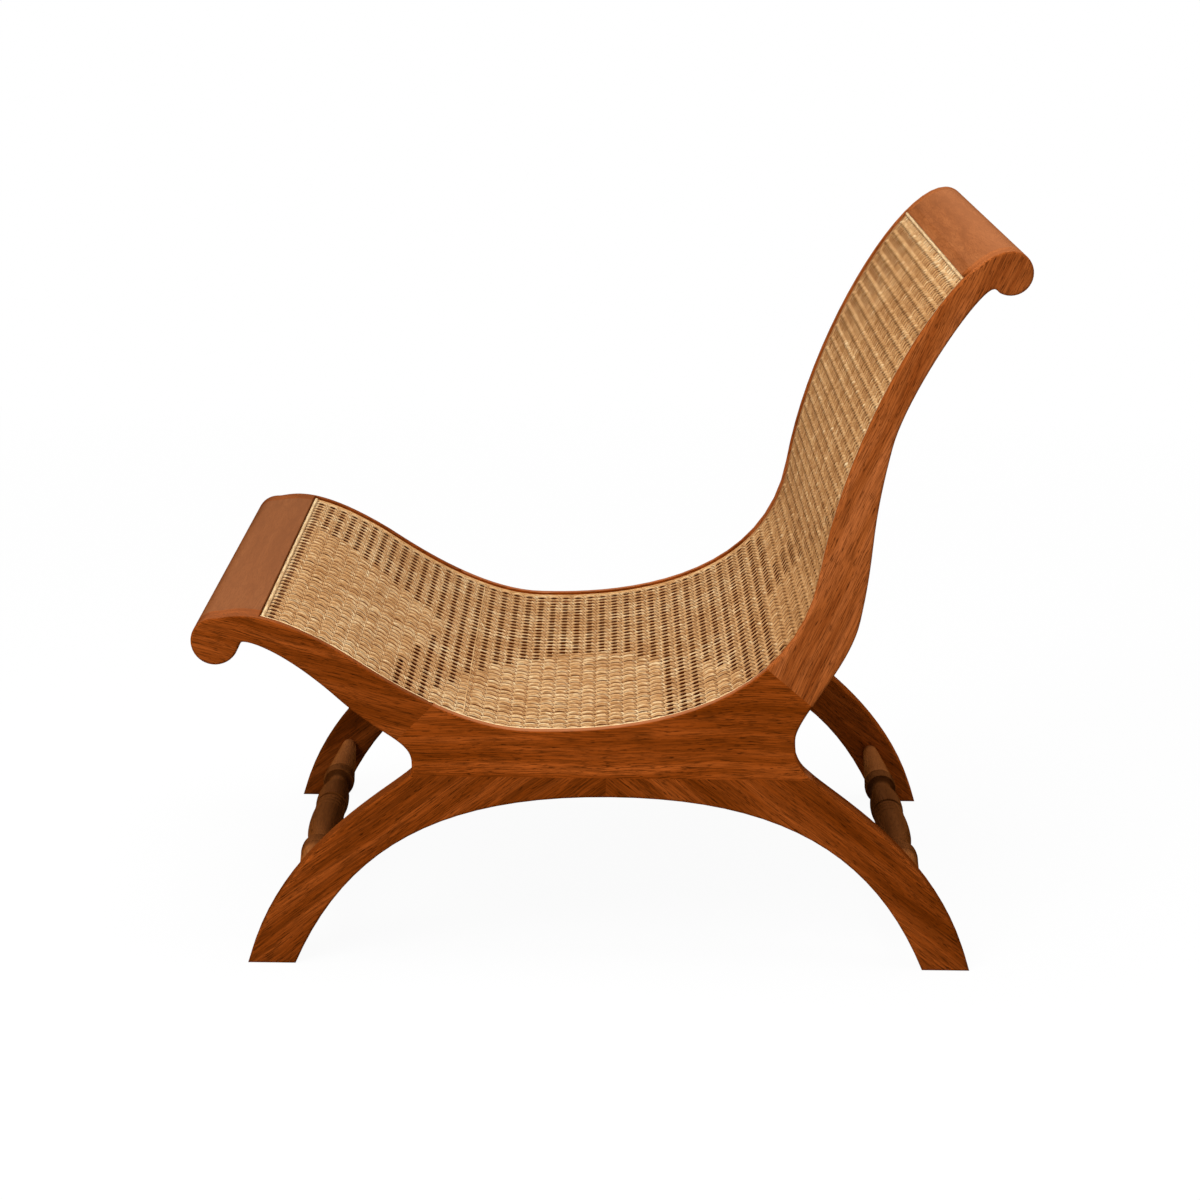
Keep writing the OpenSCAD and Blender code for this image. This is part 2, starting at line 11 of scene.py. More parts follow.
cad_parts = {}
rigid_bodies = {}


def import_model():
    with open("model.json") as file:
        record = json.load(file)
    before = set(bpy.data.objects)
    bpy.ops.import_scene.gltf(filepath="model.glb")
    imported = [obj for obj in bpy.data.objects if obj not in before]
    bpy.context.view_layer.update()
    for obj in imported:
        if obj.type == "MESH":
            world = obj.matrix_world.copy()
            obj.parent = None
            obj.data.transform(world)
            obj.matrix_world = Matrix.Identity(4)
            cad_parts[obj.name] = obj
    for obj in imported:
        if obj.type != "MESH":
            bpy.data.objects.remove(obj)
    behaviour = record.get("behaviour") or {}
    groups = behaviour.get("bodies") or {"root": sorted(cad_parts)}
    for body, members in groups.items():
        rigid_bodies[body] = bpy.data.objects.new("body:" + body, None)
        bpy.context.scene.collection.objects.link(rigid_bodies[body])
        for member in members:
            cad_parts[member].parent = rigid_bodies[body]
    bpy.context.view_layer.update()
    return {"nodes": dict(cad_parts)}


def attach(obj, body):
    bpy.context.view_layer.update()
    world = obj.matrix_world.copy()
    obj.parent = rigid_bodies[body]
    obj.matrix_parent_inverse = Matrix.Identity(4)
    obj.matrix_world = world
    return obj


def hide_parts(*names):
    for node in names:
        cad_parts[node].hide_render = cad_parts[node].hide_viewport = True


for item in list(bpy.data.objects):
    bpy.data.objects.remove(item)
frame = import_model()
nodes = frame["nodes"]
print("frame loaded:", len(nodes), "pieces")

mm = 0.001


# Shared small functions

# sRGB hex to linear light: each channel c becomes ((c + 0.055) / 1.055) ^ 2.4, or c / 12.92 when dark
def linearColour(hexCode):
    channels = [int(hexCode[i:i + 2], 16) / 255 for i in (1, 3, 5)]
    return tuple(c / 12.92 if c <= 0.04045 else ((c + 0.055) / 1.055) ** 2.4 for c in channels) + (1,)


# Adds a node. Settings go to an input of that name or number, else to a property of the node; stops
# are a ramp's places with their colours. Links join an input to another node's output.
def addNode(tree, kind, settings=(), links=()):
    node = tree.nodes.new(kind)
    for key, value in dict(settings).items():
        if key == "stops":
            ramp = node.color_ramp
            for i, (place, colour) in enumerate(value):
                stop = ramp.elements[i] if i < 2 else ramp.elements.new(place)
                stop.position = place
                if isinstance(colour, str):
                    colour = linearColour(colour)
                stop.color = colour if isinstance(colour, (list, tuple)) else (colour,) * 3 + (1,)
        elif isinstance(key, int) or key in node.inputs:
            node.inputs[key].default_value = value
        else:
            setattr(node, key, value)
    for key, output in dict(links).items():
        tree.links.new(output, node.inputs[key])
    return node


# Colour of a ramp at a factor
def addRamp(tree, stops, factor):
    return addNode(tree, "ShaderNodeValToRGB", {"stops": stops}, {"Fac": factor}).outputs["Color"]


# Noise at places: scale is in waves a metre, detail in octaves
def addNoise(tree, scale, detail, places, roughness=0.5):
    settings = {"Scale": scale, "Detail": detail, "Roughness": roughness}
    return addNode(tree, "ShaderNodeTexNoise", settings, {"Vector": places})


def addMath(tree, operation, first, second):
    return addNode(tree, "ShaderNodeMath", {"operation": operation}, {0: first, 1: second}).outputs[0]


# Lays a colour over what lies under it, as strongly as the factor says
def layColour(tree, colour, factor, under):
    return addNode(tree, "ShaderNodeMix", {"data_type": "RGBA", 7: colour}, {0: factor, 6: under}).outputs[2]


def newMaterial(name):
    material = bpy.data.materials.new(name)
    material.use_nodes = True
    material.node_tree.nodes.clear()
    return material, material.node_tree


# Shades a mesh smooth, but for edges sharper than an angle in degrees where one is given
def shadeSmooth(mesh, sharpAngle=None):
    mesh.polygons.foreach_set("use_smooth", np.ones(len(mesh.polygons), bool))
    if sharpAngle:
        mesh.set_sharp_from_angle(angle=math.radians(sharpAngle))


# Mesh from arrays: points (n, 3) in metres, and faces as arrays with one row of corners per face.
# uv has one row per corner, in the order of the faces; floats are values on the points, by name.
def arrayMesh(name, points, faces, uv=None, floats=()):
    mesh = bpy.data.meshes.new(name)
    mesh.from_pydata(points.tolist(), [], [corner for block in faces for corner in block.tolist()])
    if uv is not None:
        mesh.uv_layers.new(name="strand").data.foreach_set("uv", uv.astype(np.float32).ravel())
    for label, values in dict(floats).items():
        attribute = mesh.attributes.new(label, "FLOAT", "POINT")
        attribute.data.foreach_set("value", values.astype(np.float32).ravel())
    shadeSmooth(mesh)
    mesh.update()
    return mesh


# Puts a mesh into the scene as one piece on the body, with its finish and the nodes it stands for
def addPiece(name, mesh, material, replaced=()):
    piece = bpy.data.objects.new(name, mesh)
    bpy.context.scene.collection.objects.link(piece)
    mesh.materials.clear()
    mesh.materials.append(material)
    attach(piece, "root")
    if replaced:
        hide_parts(*replaced)
    return piece


# Loose triangles of the CAD become whole faces: near is how close points are merged, in mm, and flat
# how little faces may turn, in degrees. Large faces weigh most in the shading of the points they share.
merging = {"near": 0.02, "flat": 0.15, "faceWeight": 80}


# Copy of a node's mesh with its triangles merged, and reworked where a function for that is given
def mergedCopy(node, sharpAngle, rework=None):
    mesh = nodes[node].data.copy()
    work = bmesh.new()
    work.from_mesh(mesh)
    bmesh.ops.remove_doubles(work, verts=work.verts, dist=merging["near"] * mm)
    bmesh.ops.dissolve_limit(work, angle_limit=math.radians(merging["flat"]),
                             verts=work.verts, edges=work.edges)
    if rework:
        rework(work)
    work.to_mesh(mesh)
    work.free()
    shadeSmooth(mesh, sharpAngle)
    return mesh


def weighNormals(piece):
    weigh = piece.modifiers.new("flat faces stay flat", "WEIGHTED_NORMAL")
    weigh.keep_sharp = True
    weigh.weight = merging["faceWeight"]


# Seat line

# The line that the cane follows, as in the frame. Each stretch is a cubic curve between two places,
# with its handles on the tangents there, as long as the reach at its start and at its end.
seatLine = {
    "places": [(-377.5, 350), (-251, 314), (-72, 241), (207, 399), (379.5, 714)],
    "angles": [0, -31, 0, 81, 0],
    "reaches": [(14, 103), (21, 74), (33, 168), (145, 53)],
    "steps": 160,
    "caneEnds": (-334.2, 335.5),
}


def cubicLine(line):
    # (1-t)^3 a + 3 (1-t)^2 t b + 3 (1-t) t^2 c + t^3 d, sampled evenly in t
    t = np.linspace(0, 1, line["steps"], endpoint=False)[:, None]
    places = np.array(line["places"], float)
    turns = np.radians(line["angles"])
    headings = np.stack([np.cos(turns), np.sin(turns)], 1)
    parts = []
    for i, (leave, arrive) in enumerate(line["reaches"]):
        a, d = places[i], places[i + 1]
        b, c = a + leave * headings[i], d - arrive * headings[i + 1]
        parts.append((1 - t) ** 3 * a + 3 * (1 - t) ** 2 * t * b + 3 * (1 - t) * t ** 2 * c + t ** 3 * d)
    return np.concatenate(parts + [places[-1:]])


seatPoints = cubicLine(seatLine)
seatLengths = np.concatenate([[0], np.cumsum(np.linalg.norm(np.diff(seatPoints, axis=0), axis=1))])
seatHeadings = np.gradient(seatPoints, seatLengths, axis=0)
seatHeadings /= np.linalg.norm(seatHeadings, axis=1)[:, None]
caneStart, caneEnd = np.interp(seatLine["caneEnds"], seatPoints[:, 0], seatLengths)
caneLength = caneEnd - caneStart


# Heading of the seat line, and its normal that points up out of the seat, at lengths along the cane
def seatFrame(run):
    heading = [np.interp(run + caneStart, seatLengths, seatHeadings[:, i]) for i in (0, 1)]
    flat = np.zeros_like(heading[0])
    return np.stack([heading[0], flat, heading[1]], -1), np.stack([-heading[1], flat, heading[0]], -1)


# Point at a length along the cane, a place across the chair and a height over the seat line, in mm:
# the line's point plus the height along its normal
def seatPlace(run, across, height):
    run, across, height = np.broadcast_arrays(run, across, height)
    normal = seatFrame(run)[1]
    line = [np.interp(run + caneStart, seatLengths, seatPoints[:, i]) for i in (0, 1)]
    return np.stack([line[0], across, line[1]], -1) + height[..., None] * normal


print("seat line ready, cane", round(caneLength, 1), "mm long")

# Wood

# Oiled hardwood, sawn from straight boards and sanded fine: warm orange brown, its oil gone dull, with
# fine dark streaks and short pores along the grain, growth lines on the legs, and painted sheen on what
# faces up: a paler colour for the light falling there. Sizes are the length along the grain and the
# width across it, in mm. A ramp's stops are values of the noise, with how strongly the streaks or pores
# show there.
hardwood = {
    "figure": (300, 18), "streak": (34, 0.9), "line": (420, 8), "pore": (11, 0.9), "waver": (120, 5),
    "details": {"figure": 2.0, "streak": 4.0, "line": 1.5, "pore": 1.0}, "noiseRoughness": 0.65,
    "groundStops": {"dark": 0.32, "light": 0.68, "middle": 0.5},
    "streakStops": [(0.36, 0.75), (0.58, 0.0)], "poreStops": [(0.3, 0.8), (0.4, 0.0)],
    "lineEdges": (0.455, 0.545), "lineMiddle": 0.5,
    "topSheenFrom": 0.6, "topSheenTo": 0.98, "bumpStrength": 0.25, "poreDepth": 0.25, "shine": 0.0,
    "roughness": {"From Min": 0.2, "From Max": 0.8, "To Min": 0.6, "To Max": 0.45},
}
sideColours = {
    "light": "#a4501b", "middle": "#8a3f0f", "dark": "#723106", "streak": "#3c1903", "pore": "#331302",
    "topSheen": "#b5744c",
}
postColours = {
    "light": "#bb6935", "middle": "#a95a27", "dark": "#93481a", "streak": "#57260a", "pore": "#4a2008",
    "topSheen": "#b5744a",
}
rollColoursWithSheen = {
    "light": "#a56335", "middle": "#96552a", "dark": "#77401c", "streak": "#6c3818", "pore": "#663512",
    "topSheen": "#a76a45",
}
turnedColours = {
    "light": "#cc7c40", "middle": "#ac622a", "dark": "#7c4318", "streak": "#4a2208", "pore": "#2b1003",
    "topSheen": "#b06a38",
}
acrossChair = (0, 0, math.radians(90))  # turns the grain to run across the chair


# turn brings the grain onto local x. The pattern is noise stretched along x by each size's ratio, and
# a point's attribute shade, where the mesh has it, paints shade into what lies in a groove.
def woodMaterial(name, colours, turn, seed, tone=1.0, lineShare=0.0, lineSize=None, topSheenShare=0.6):
    h = hardwood
    colours = {label: [c * tone for c in linearColour(code)[:3]] + [1] for label, code in colours.items()}
    material, tree = newMaterial(name)
    place = addNode(tree, "ShaderNodeTexCoord")
    # The seed moves the pattern, so that no two boards show the same piece of it
    board = addNode(tree, "ShaderNodeMapping",
                    {"Rotation": turn, "Location": (seed * 1.37, seed * 0.71, seed * 2.13)},
                    {"Vector": place.outputs["Object"]})
    along, across = h["waver"]
    waver = addNoise(tree, 1000 / along, 1.0, board.outputs[0])
    shift = addNode(tree, "ShaderNodeVectorMath",
                    {"operation": "MULTIPLY", 1: (0, across * mm * 2, across * mm * 2)},
                    {0: waver.outputs["Color"]})
    bent = addNode(tree, "ShaderNodeVectorMath", {"operation": "ADD"},
                   {0: board.outputs[0], 1: shift.outputs[0]})

    grain = {}
    for label, detail in h["details"].items():
        long, wide = (label == "line" and lineSize) or h[label]
        stretched = addNode(tree, "ShaderNodeMapping",
                            {"Scale": (1000 / long, 1000 / wide, 1000 / wide)}, {"Vector": bent.outputs[0]})
        noise = addNoise(tree, 1.0, detail, stretched.outputs[0], h["noiseRoughness"])
        grain[label] = noise.outputs["Fac"]

    groundStops = [(stop, colours[label]) for label, stop in h["groundStops"].items()]
    ground = addRamp(tree, groundStops, grain["figure"])
    streaks = addRamp(tree, h["streakStops"], grain["streak"])
    # Growth lines lie where the slow noise crosses a half: dark there, clear on both sides
    lineStops = [(edge, 0.0) for edge in h["lineEdges"]] + [(h["lineMiddle"], lineShare)]
    dark = addMath(tree, "MAXIMUM", streaks, addRamp(tree, lineStops, grain["line"]))
    streaked = layColour(tree, colours["streak"], dark, ground)
    pores = addRamp(tree, h["poreStops"], grain["pore"])
    pored = layColour(tree, colours["pore"], pores, streaked)
    # Painted sheen: what faces up is laid over with a paler colour, for the light falling on it
    up = addNode(tree, "ShaderNodeSeparateXYZ", (), {0: place.outputs["Normal"]})
    topSheenFactor = addNode(tree, "ShaderNodeMapRange",
                   {"From Min": h["topSheenFrom"], "From Max": h["topSheenTo"], "To Max": topSheenShare},
                   {"Value": up.outputs["Z"]})
    topSheen = layColour(tree, colours["topSheen"], topSheenFactor.outputs[0], pored)
    # Painted shade: the mesh's shade attribute lays the pore colour into grooves
    shade = addNode(tree, "ShaderNodeAttribute", {"attribute_name": "shade"})
    shaded = layColour(tree, colours["pore"], shade.outputs["Fac"], topSheen)
    rough = addNode(tree, "ShaderNodeMapRange", h["roughness"], {"Value": grain["streak"]})
    bump = addNode(tree, "ShaderNodeBump",
                   {"Strength": h["bumpStrength"], "Distance": h["poreDepth"] * mm, "invert": True},
                   {"Height": pores})
    shader = addNode(tree, "ShaderNodeBsdfPrincipled", {"Specular IOR Level": h["shine"]},
                     {"Base Color": shaded, "Roughness": rough.outputs[0], "Normal": bump.outputs[0]})
    addNode(tree, "ShaderNodeOutputMaterial", (), {"Surface": shader.outputs[0]})
    return material


# Side boards

# The arrises are rounded over except where boards meet: outer on both faces of a panel, lip on the
# inner edge of the lip over the cane. The near values say how close an edge lies to a plane, a joint
# or the seat line to belong to it, and bedReach how far under that line the grooves reach, tested at
# every fourth point of it. Grain is each board's angle in the side view, its tone, the strength of its
# growth lines, how strong the painted sheen on its upper faces is and its colours: the back posts are
# paler. The right panel's boards take a brightness factor of their own over the left's, as painted
# light and shade for how the light falls on the far panel. Seed is the first board's, with the step to
# the next board and side.
sideBoards = {
    "outerRound": 3.0, "lipRound": 1.2, "roundSteps": 4, "arrisAngle": 40, "sharpAngle": 38,
    "facePlanes": (283.0, 315.0), "lipPlane": 305.0,
    "frontMitre": ((-166, 265.5), 45), "rearMitre": ((158, 305.4), -40),
    "legJoint": ((0, 194), 0), "legSplit": ((3, 0), 90),
    "rolls": (((-377.5, 326.5), 24.5), ((379.5, 692.5), 22.5)),
    "stretcherHoles": ((-295, 60), (311, 60)), "holeReach": 10,
    "bedReach": 27, "bedEvery": 4, "nearPlane": 0.02, "nearJoint": 0.05, "nearSeat": 0.3, "mendNear": 0.01,
    "grain": {
        "front_rail": (-15, 0.97, 0.2, 0.25, sideColours), "seat_block": (1, 1.16, 0, 0.6, sideColours),
        "back_post": (66, 1.0, 0.1, 0.4, postColours), "front_leg": (37, 0.98, 0.6, 0.05, sideColours),
        "rear_leg": (-38, 1.0, 0.4, 0.05, sideColours),
    },
    # Painted light and shade on the right panel: its rear leg brighter, its other boards darker, for how
    # light falls there
    "rightLightShade": {
        "front_rail": 0.9, "seat_block": 0.9, "back_post": 0.9, "front_leg": 0.64, "rear_leg": 1.45,
    },
    "seed": (3.1, 1.7, 9.3),
}


# Distance of side-view points from a line through a place at an angle: |dx sin a - dz cos a|
def lineDistance(points, line):
    (x, z), angle = line
    turn = math.radians(angle)
    return np.abs((points[:, 0] - x) * math.sin(turn) - (points[:, 1] - z) * math.cos(turn))


# Rounds over a board's free arrises: the edges in a panel's faces, and in the lip's plane along the
# seat line, that turn sharply and lie in no joint, groove or hole
def roundArrises(work):
    b = sideBoards
    edges = [e for e in work.edges
             if len(e.link_faces) == 2 and e.calc_face_angle(0) > math.radians(b["arrisAngle"])]
    ends = np.array([[v.co for v in e.verts] for e in edges]) / mm
    middle = ends.mean(1)[:, [0, 2]]
    wide = np.abs(ends[..., 1])
    onInner, onOuter, onLip = ((np.abs(wide - y) < b["nearPlane"]).all(1)
                               for y in (*b["facePlanes"], b["lipPlane"]))
    joint = np.zeros(len(edges), bool)
    for name in ("frontMitre", "rearMitre", "legJoint", "legSplit"):
        away = np.stack([lineDistance(ends[:, i][:, [0, 2]], b[name]) for i in (0, 1)])
        joint |= (away < b["nearJoint"]).all(0)
    bed = np.min(np.linalg.norm(middle[:, None] - seatPoints[None, ::b["bedEvery"]], axis=2), axis=1)
    hidden = bed < b["bedReach"]
    for centre, radius in b["rolls"]:
        hidden |= np.linalg.norm(middle - centre, axis=1) < radius
    for centre in b["stretcherHoles"]:
        hidden |= np.linalg.norm(middle - centre, axis=1) < b["holeReach"]
    faces = (onOuter | onInner & ~hidden) & ~joint
    lip = onLip & ~joint & (bed < b["nearSeat"])
    for chosen, radius in ((faces, b["outerRound"]), (lip, b["lipRound"])):
        picked = [edges[i] for i in np.flatnonzero(chosen) if edges[i].is_valid]
        if picked:
            bmesh.ops.bevel(work, geom=picked, offset=radius * mm, offset_type="OFFSET", affect="EDGES",
                            segments=b["roundSteps"], profile=0.5, clamp_overlap=False)
    bmesh.ops.remove_doubles(work, verts=work.verts, dist=b["mendNear"] * mm)


firstSeed, boardSeed, sideSeed = sideBoards["seed"]
for count, (board, look) in enumerate(sideBoards["grain"].items()):
    angle, tone, lineShare, topSheenShare, colours = look
    for side, sideName in enumerate(("left", "right")):
        node = board + "_" + sideName
        finish = woodMaterial("oiled hardwood, " + node.replace("_", " "), colours,
                              (0, math.radians(angle), 0), firstSeed + count * boardSeed + side * sideSeed,
                              tone * sideBoards["rightLightShade"][board] ** side, lineShare, None, topSheenShare)
        rounded = mergedCopy(node, sideBoards["sharpAngle"], roundArrises)
        weighNormals(addPiece(node + "_rounded", rounded, finish, [node]))
print("side boards rounded")

# Rolls

# The rolls are the same timber, with the grain across the chair and soft open rings of figure. Their
# paler colours and their paler top are painted sheen, for the light falling there. Looks are each
# roll's seed and tone.
rolls = {
    "looks": {"front_roll": (21.7, 0.72), "crest_roll": (33.9, 1.03)},
    "ringShare": 0.6, "ringSize": (150, 30), "sharpAngle": 25,
}

for node, (seed, tone) in rolls["looks"].items():
    finish = woodMaterial("oiled hardwood, " + node.replace("_", " "), rollColoursWithSheen, acrossChair, seed,
                          tone, rolls["ringShare"], rolls["ringSize"])
    sanded = mergedCopy(node, rolls["sharpAngle"])
    weighNormals(addPiece(node + "_sanded", sanded, finish, [node]))
print("rolls done")

# Stretchers

# Half profile of a turned stretcher from its middle, as [distance, radius] in mm, made of swellings:
# each is an arc of an ellipse with its crown at a middle distance. Steps are the points on each form.
# Painted shade darkens what lies in a groove, and the whole body between the two cones is darker.
stretcher = {
    "places": (-295.0, 311.0), "height": 60.0, "rounds": 48, "end": 283.0, "endRadius": 8.0,
    "beadHalf": 5.0, "beadRadius": 16.2, "beadRise": 1.4, "grooveDepth": 2.6, "grooveWidth": 4.0,
    "grooveWall": 0.1, "bulbMiddle": 42.0, "bulbHalf": 60.0, "bulbRadius": 17.3, "neck": 9.5,
    "coneStart": 150.0, "coneRadius": 16.4, "ringBand": 4.0, "ringWidth": 1.6, "ringDepth": 0.9,
    "collarWidth": 21.0, "collarRadius": 17.2, "coveWidth": 21.0,
    "tenonRadius": 7.0, "tenonDepth": 24.0, "shoulder": 0.01,
    "steps": {"halfBead": 6, "bead": 11, "bulb": 30, "cove": 14, "collar": 12, "cone": 12},
    "shadeReach": 2.5, "shadeFrom": 0.16, "shadeDepth": 0.6, "shadeMost": 0.85, "bodyShade": 0.5,
    "shift": 14.0, "shiftReach": 45.0, "sharpAngle": 40, "seed": 41.3, "seedPerMm": 0.01,
}


# Radius base + (crown - base) sqrt(1 - ((y - middle) / half)^2) between two distances
def swelling(start, stop, middle, half, base, crown, steps):
    y = np.linspace(start, stop, steps)
    bulge = np.sqrt(np.clip(1 - ((y - middle) / half) ** 2, 0, 1))
    return np.stack([y, base + (crown - base) * bulge], 1)


def stretcherProfile(s):
    bead, wall, steps = s["beadHalf"], s["grooveWall"], s["steps"]
    waist = 3 * bead + s["grooveWidth"]
    low = s["beadRadius"] - s["beadRise"]
    groove = s["beadRadius"] - s["grooveDepth"]
    collarEnd = s["coneStart"] - s["ringBand"]
    collarStart = collarEnd - s["collarWidth"]
    coveStart = collarStart - s["coveWidth"]
    quarter = np.linspace(0, math.pi / 2, steps["cove"])
    return np.concatenate([
        swelling(0, bead, 0, bead, low, s["beadRadius"], steps["halfBead"]),
        swelling(bead, 3 * bead, 2 * bead, bead, low, s["beadRadius"], steps["bead"])[1:],
        [[3 * bead + wall, groove], [waist - wall, groove]],
        swelling(waist, coveStart, s["bulbMiddle"], s["bulbHalf"], s["neck"], s["bulbRadius"], steps["bulb"]),
        np.stack([coveStart + s["coveWidth"] * np.sin(quarter),
                  s["neck"] + (s["coneRadius"] - s["neck"]) * (1 - np.cos(quarter))], 1)[1:],
        swelling(collarStart, collarEnd, (collarStart + collarEnd) / 2, s["collarWidth"] / 2,
                 s["coneRadius"], s["collarRadius"], steps["collar"])[1:],
        [[collarEnd + s["ringWidth"] / 2, s["coneRadius"] - s["ringDepth"]],
         [collarEnd + s["ringWidth"], s["coneRadius"]], [s["coneStart"], s["coneRadius"]]],
        np.stack([np.linspace(s["coneStart"], s["end"], steps["cone"]),
                  np.linspace(s["coneRadius"], s["endRadius"], steps["cone"])], 1)[1:],
        [[s["end"] + s["shoulder"], s["tenonRadius"]], [s["end"] + s["tenonDepth"], s["tenonRadius"]]],
    ])


# The profile turned round an axis along y: x = radius cos a, z = radius sin a, closed at both ends.
# The middle rings lie to the right of the middle: y gains shift * exp(-(y / reach)^2).
def turnedMesh(name, profile, x, s):
    whole = np.concatenate([profile[:0:-1] * [-1, 1], profile])
    whole[:, 0] += s["shift"] * np.exp(-(whole[:, 0] / s["shiftReach"]) ** 2)
    rings, rounds = len(whole), s["rounds"]
    turns = np.arange(rounds)
    a = turns * 2 * math.pi / rounds
    y, radius = whole[:, :1], whole[:, 1:]
    points = np.stack(np.broadcast_arrays(
        x + radius * np.cos(a), y, s["height"] + radius * np.sin(a)), -1).reshape(-1, 3)
    corner = (np.arange(rings - 1)[:, None] * rounds + turns).ravel()
    nextTurn = (np.arange(rings - 1)[:, None] * rounds + (turns + 1) % rounds).ravel()
    quads = np.stack([corner, nextTurn, nextTurn + rounds, corner + rounds], 1)
    caps = np.stack([turns[::-1], (rings - 1) * rounds + turns])
    # A ring gets painted shade by how far it lies under the widest one near it
    spans = np.abs(whole[:, None, 0] - whole[None, :, 0]) < s["shadeReach"]
    sunk = np.where(spans, whole[None, :, 1], 0).max(1) - whole[:, 1]
    body = np.where(np.abs(whole[:, 0]) < s["coneStart"], s["bodyShade"], 0)
    shade = np.clip((sunk - s["shadeFrom"]) / s["shadeDepth"], body, s["shadeMost"])
    mesh = arrayMesh(name, points * mm, [quads[:, ::-1], caps[:, ::-1]], None,
                     {"shade": np.repeat(shade, rounds)})
    mesh.set_sharp_from_angle(angle=math.radians(s["sharpAngle"]))
    return mesh


for x, node in zip(stretcher["places"], ("front_stretcher", "rear_stretcher")):
    finish = woodMaterial("stained turned hardwood, " + node.replace("_", " "), turnedColours,
                          acrossChair, stretcher["seed"] + x * stretcher["seedPerMm"])
    turned = turnedMesh(node, stretcherProfile(stretcher), x, stretcher)
    addPiece(node + "_turned", turned, finish, [node])
print("stretchers turned")

# Cane

# Split rattan, woven dry and left natural: pale straw, each strand a slightly different tone, with
# fine fibres along it, painted shade with some dirt in the seams and at the sides of strands, and
# hardly any shine. Patch and fleck are sizes in mm, and uneven how far they change a strand's tone.
caneColours = {
    "deep": "#98693b", "low": "#bf8e59", "middle": "#d6a973", "high": "#f4d6a4",
    "toneStops": {"deep": 0.0, "high": 1.0, "low": 0.35, "middle": 0.65},
    "patch": 60, "fleck": 3, "uneven": 0.7, "seamShading": "#57250b",
    "fibre": "#98683c", "fibreAlong": 26, "fibreAcross": 7, "fibreStops": [(0.36, 0.55), (0.56, 0.0)],
    "bumpStrength": 0.3, "fibreDepth": 0.2, "roughness": 0.55, "shine": 0.03,
}


# The tone of a strand's point plus patches and flecks picks a colour; fibres lie along the strand's UV
def caneMaterial(name, c):
    material, tree = newMaterial(name)
    tone = addNode(tree, "ShaderNodeAttribute", {"attribute_name": "tone"})
    place = addNode(tree, "ShaderNodeTexCoord")
    patch, fleck = (addNoise(tree, 1000 / c[label], detail, place.outputs["Object"]).outputs["Fac"]
                    for label, detail in (("patch", 3.0), ("fleck", 1.0)))
    mixed = addNode(tree, "ShaderNodeMath", {"operation": "MULTIPLY_ADD", 1: c["uneven"], 2: -c["uneven"]},
                    {0: addMath(tree, "ADD", patch, fleck)})
    level = addMath(tree, "ADD", tone.outputs["Fac"], mixed.outputs[0])
    ground = addRamp(tree, [(stop, c[label]) for label, stop in c["toneStops"].items()], level)
    strand = addNode(tree, "ShaderNodeUVMap", {"uv_map": "strand"})
    stretched = addNode(tree, "ShaderNodeMapping", {"Scale": (1000 / c["fibreAlong"], c["fibreAcross"], 1)},
                        {"Vector": strand.outputs[0]})
    fibre = addNoise(tree, 1.0, 3.0, stretched.outputs[0]).outputs["Fac"]
    fibred = layColour(tree, linearColour(c["fibre"]), addRamp(tree, c["fibreStops"], fibre), ground)
    # Painted shade, with some dirt: the shade attribute lays the seam colour over the strand
    shade = addNode(tree, "ShaderNodeAttribute", {"attribute_name": "shade"})
    shaded = layColour(tree, linearColour(c["seamShading"]), shade.outputs["Fac"], fibred)
    bump = addNode(tree, "ShaderNodeBump", {"Strength": c["bumpStrength"], "Distance": c["fibreDepth"] * mm},
                   {"Height": fibre})
    shader = addNode(tree, "ShaderNodeBsdfPrincipled",
                     {"Roughness": c["roughness"], "Specular IOR Level": c["shine"]},
                     {"Base Color": shaded, "Normal": bump.outputs[0]})
    addNode(tree, "ShaderNodeOutputMaterial", (), {"Surface": shader.outputs[0]})
    return material


caneFinish = caneMaterial("split rattan cane, natural", caneColours)

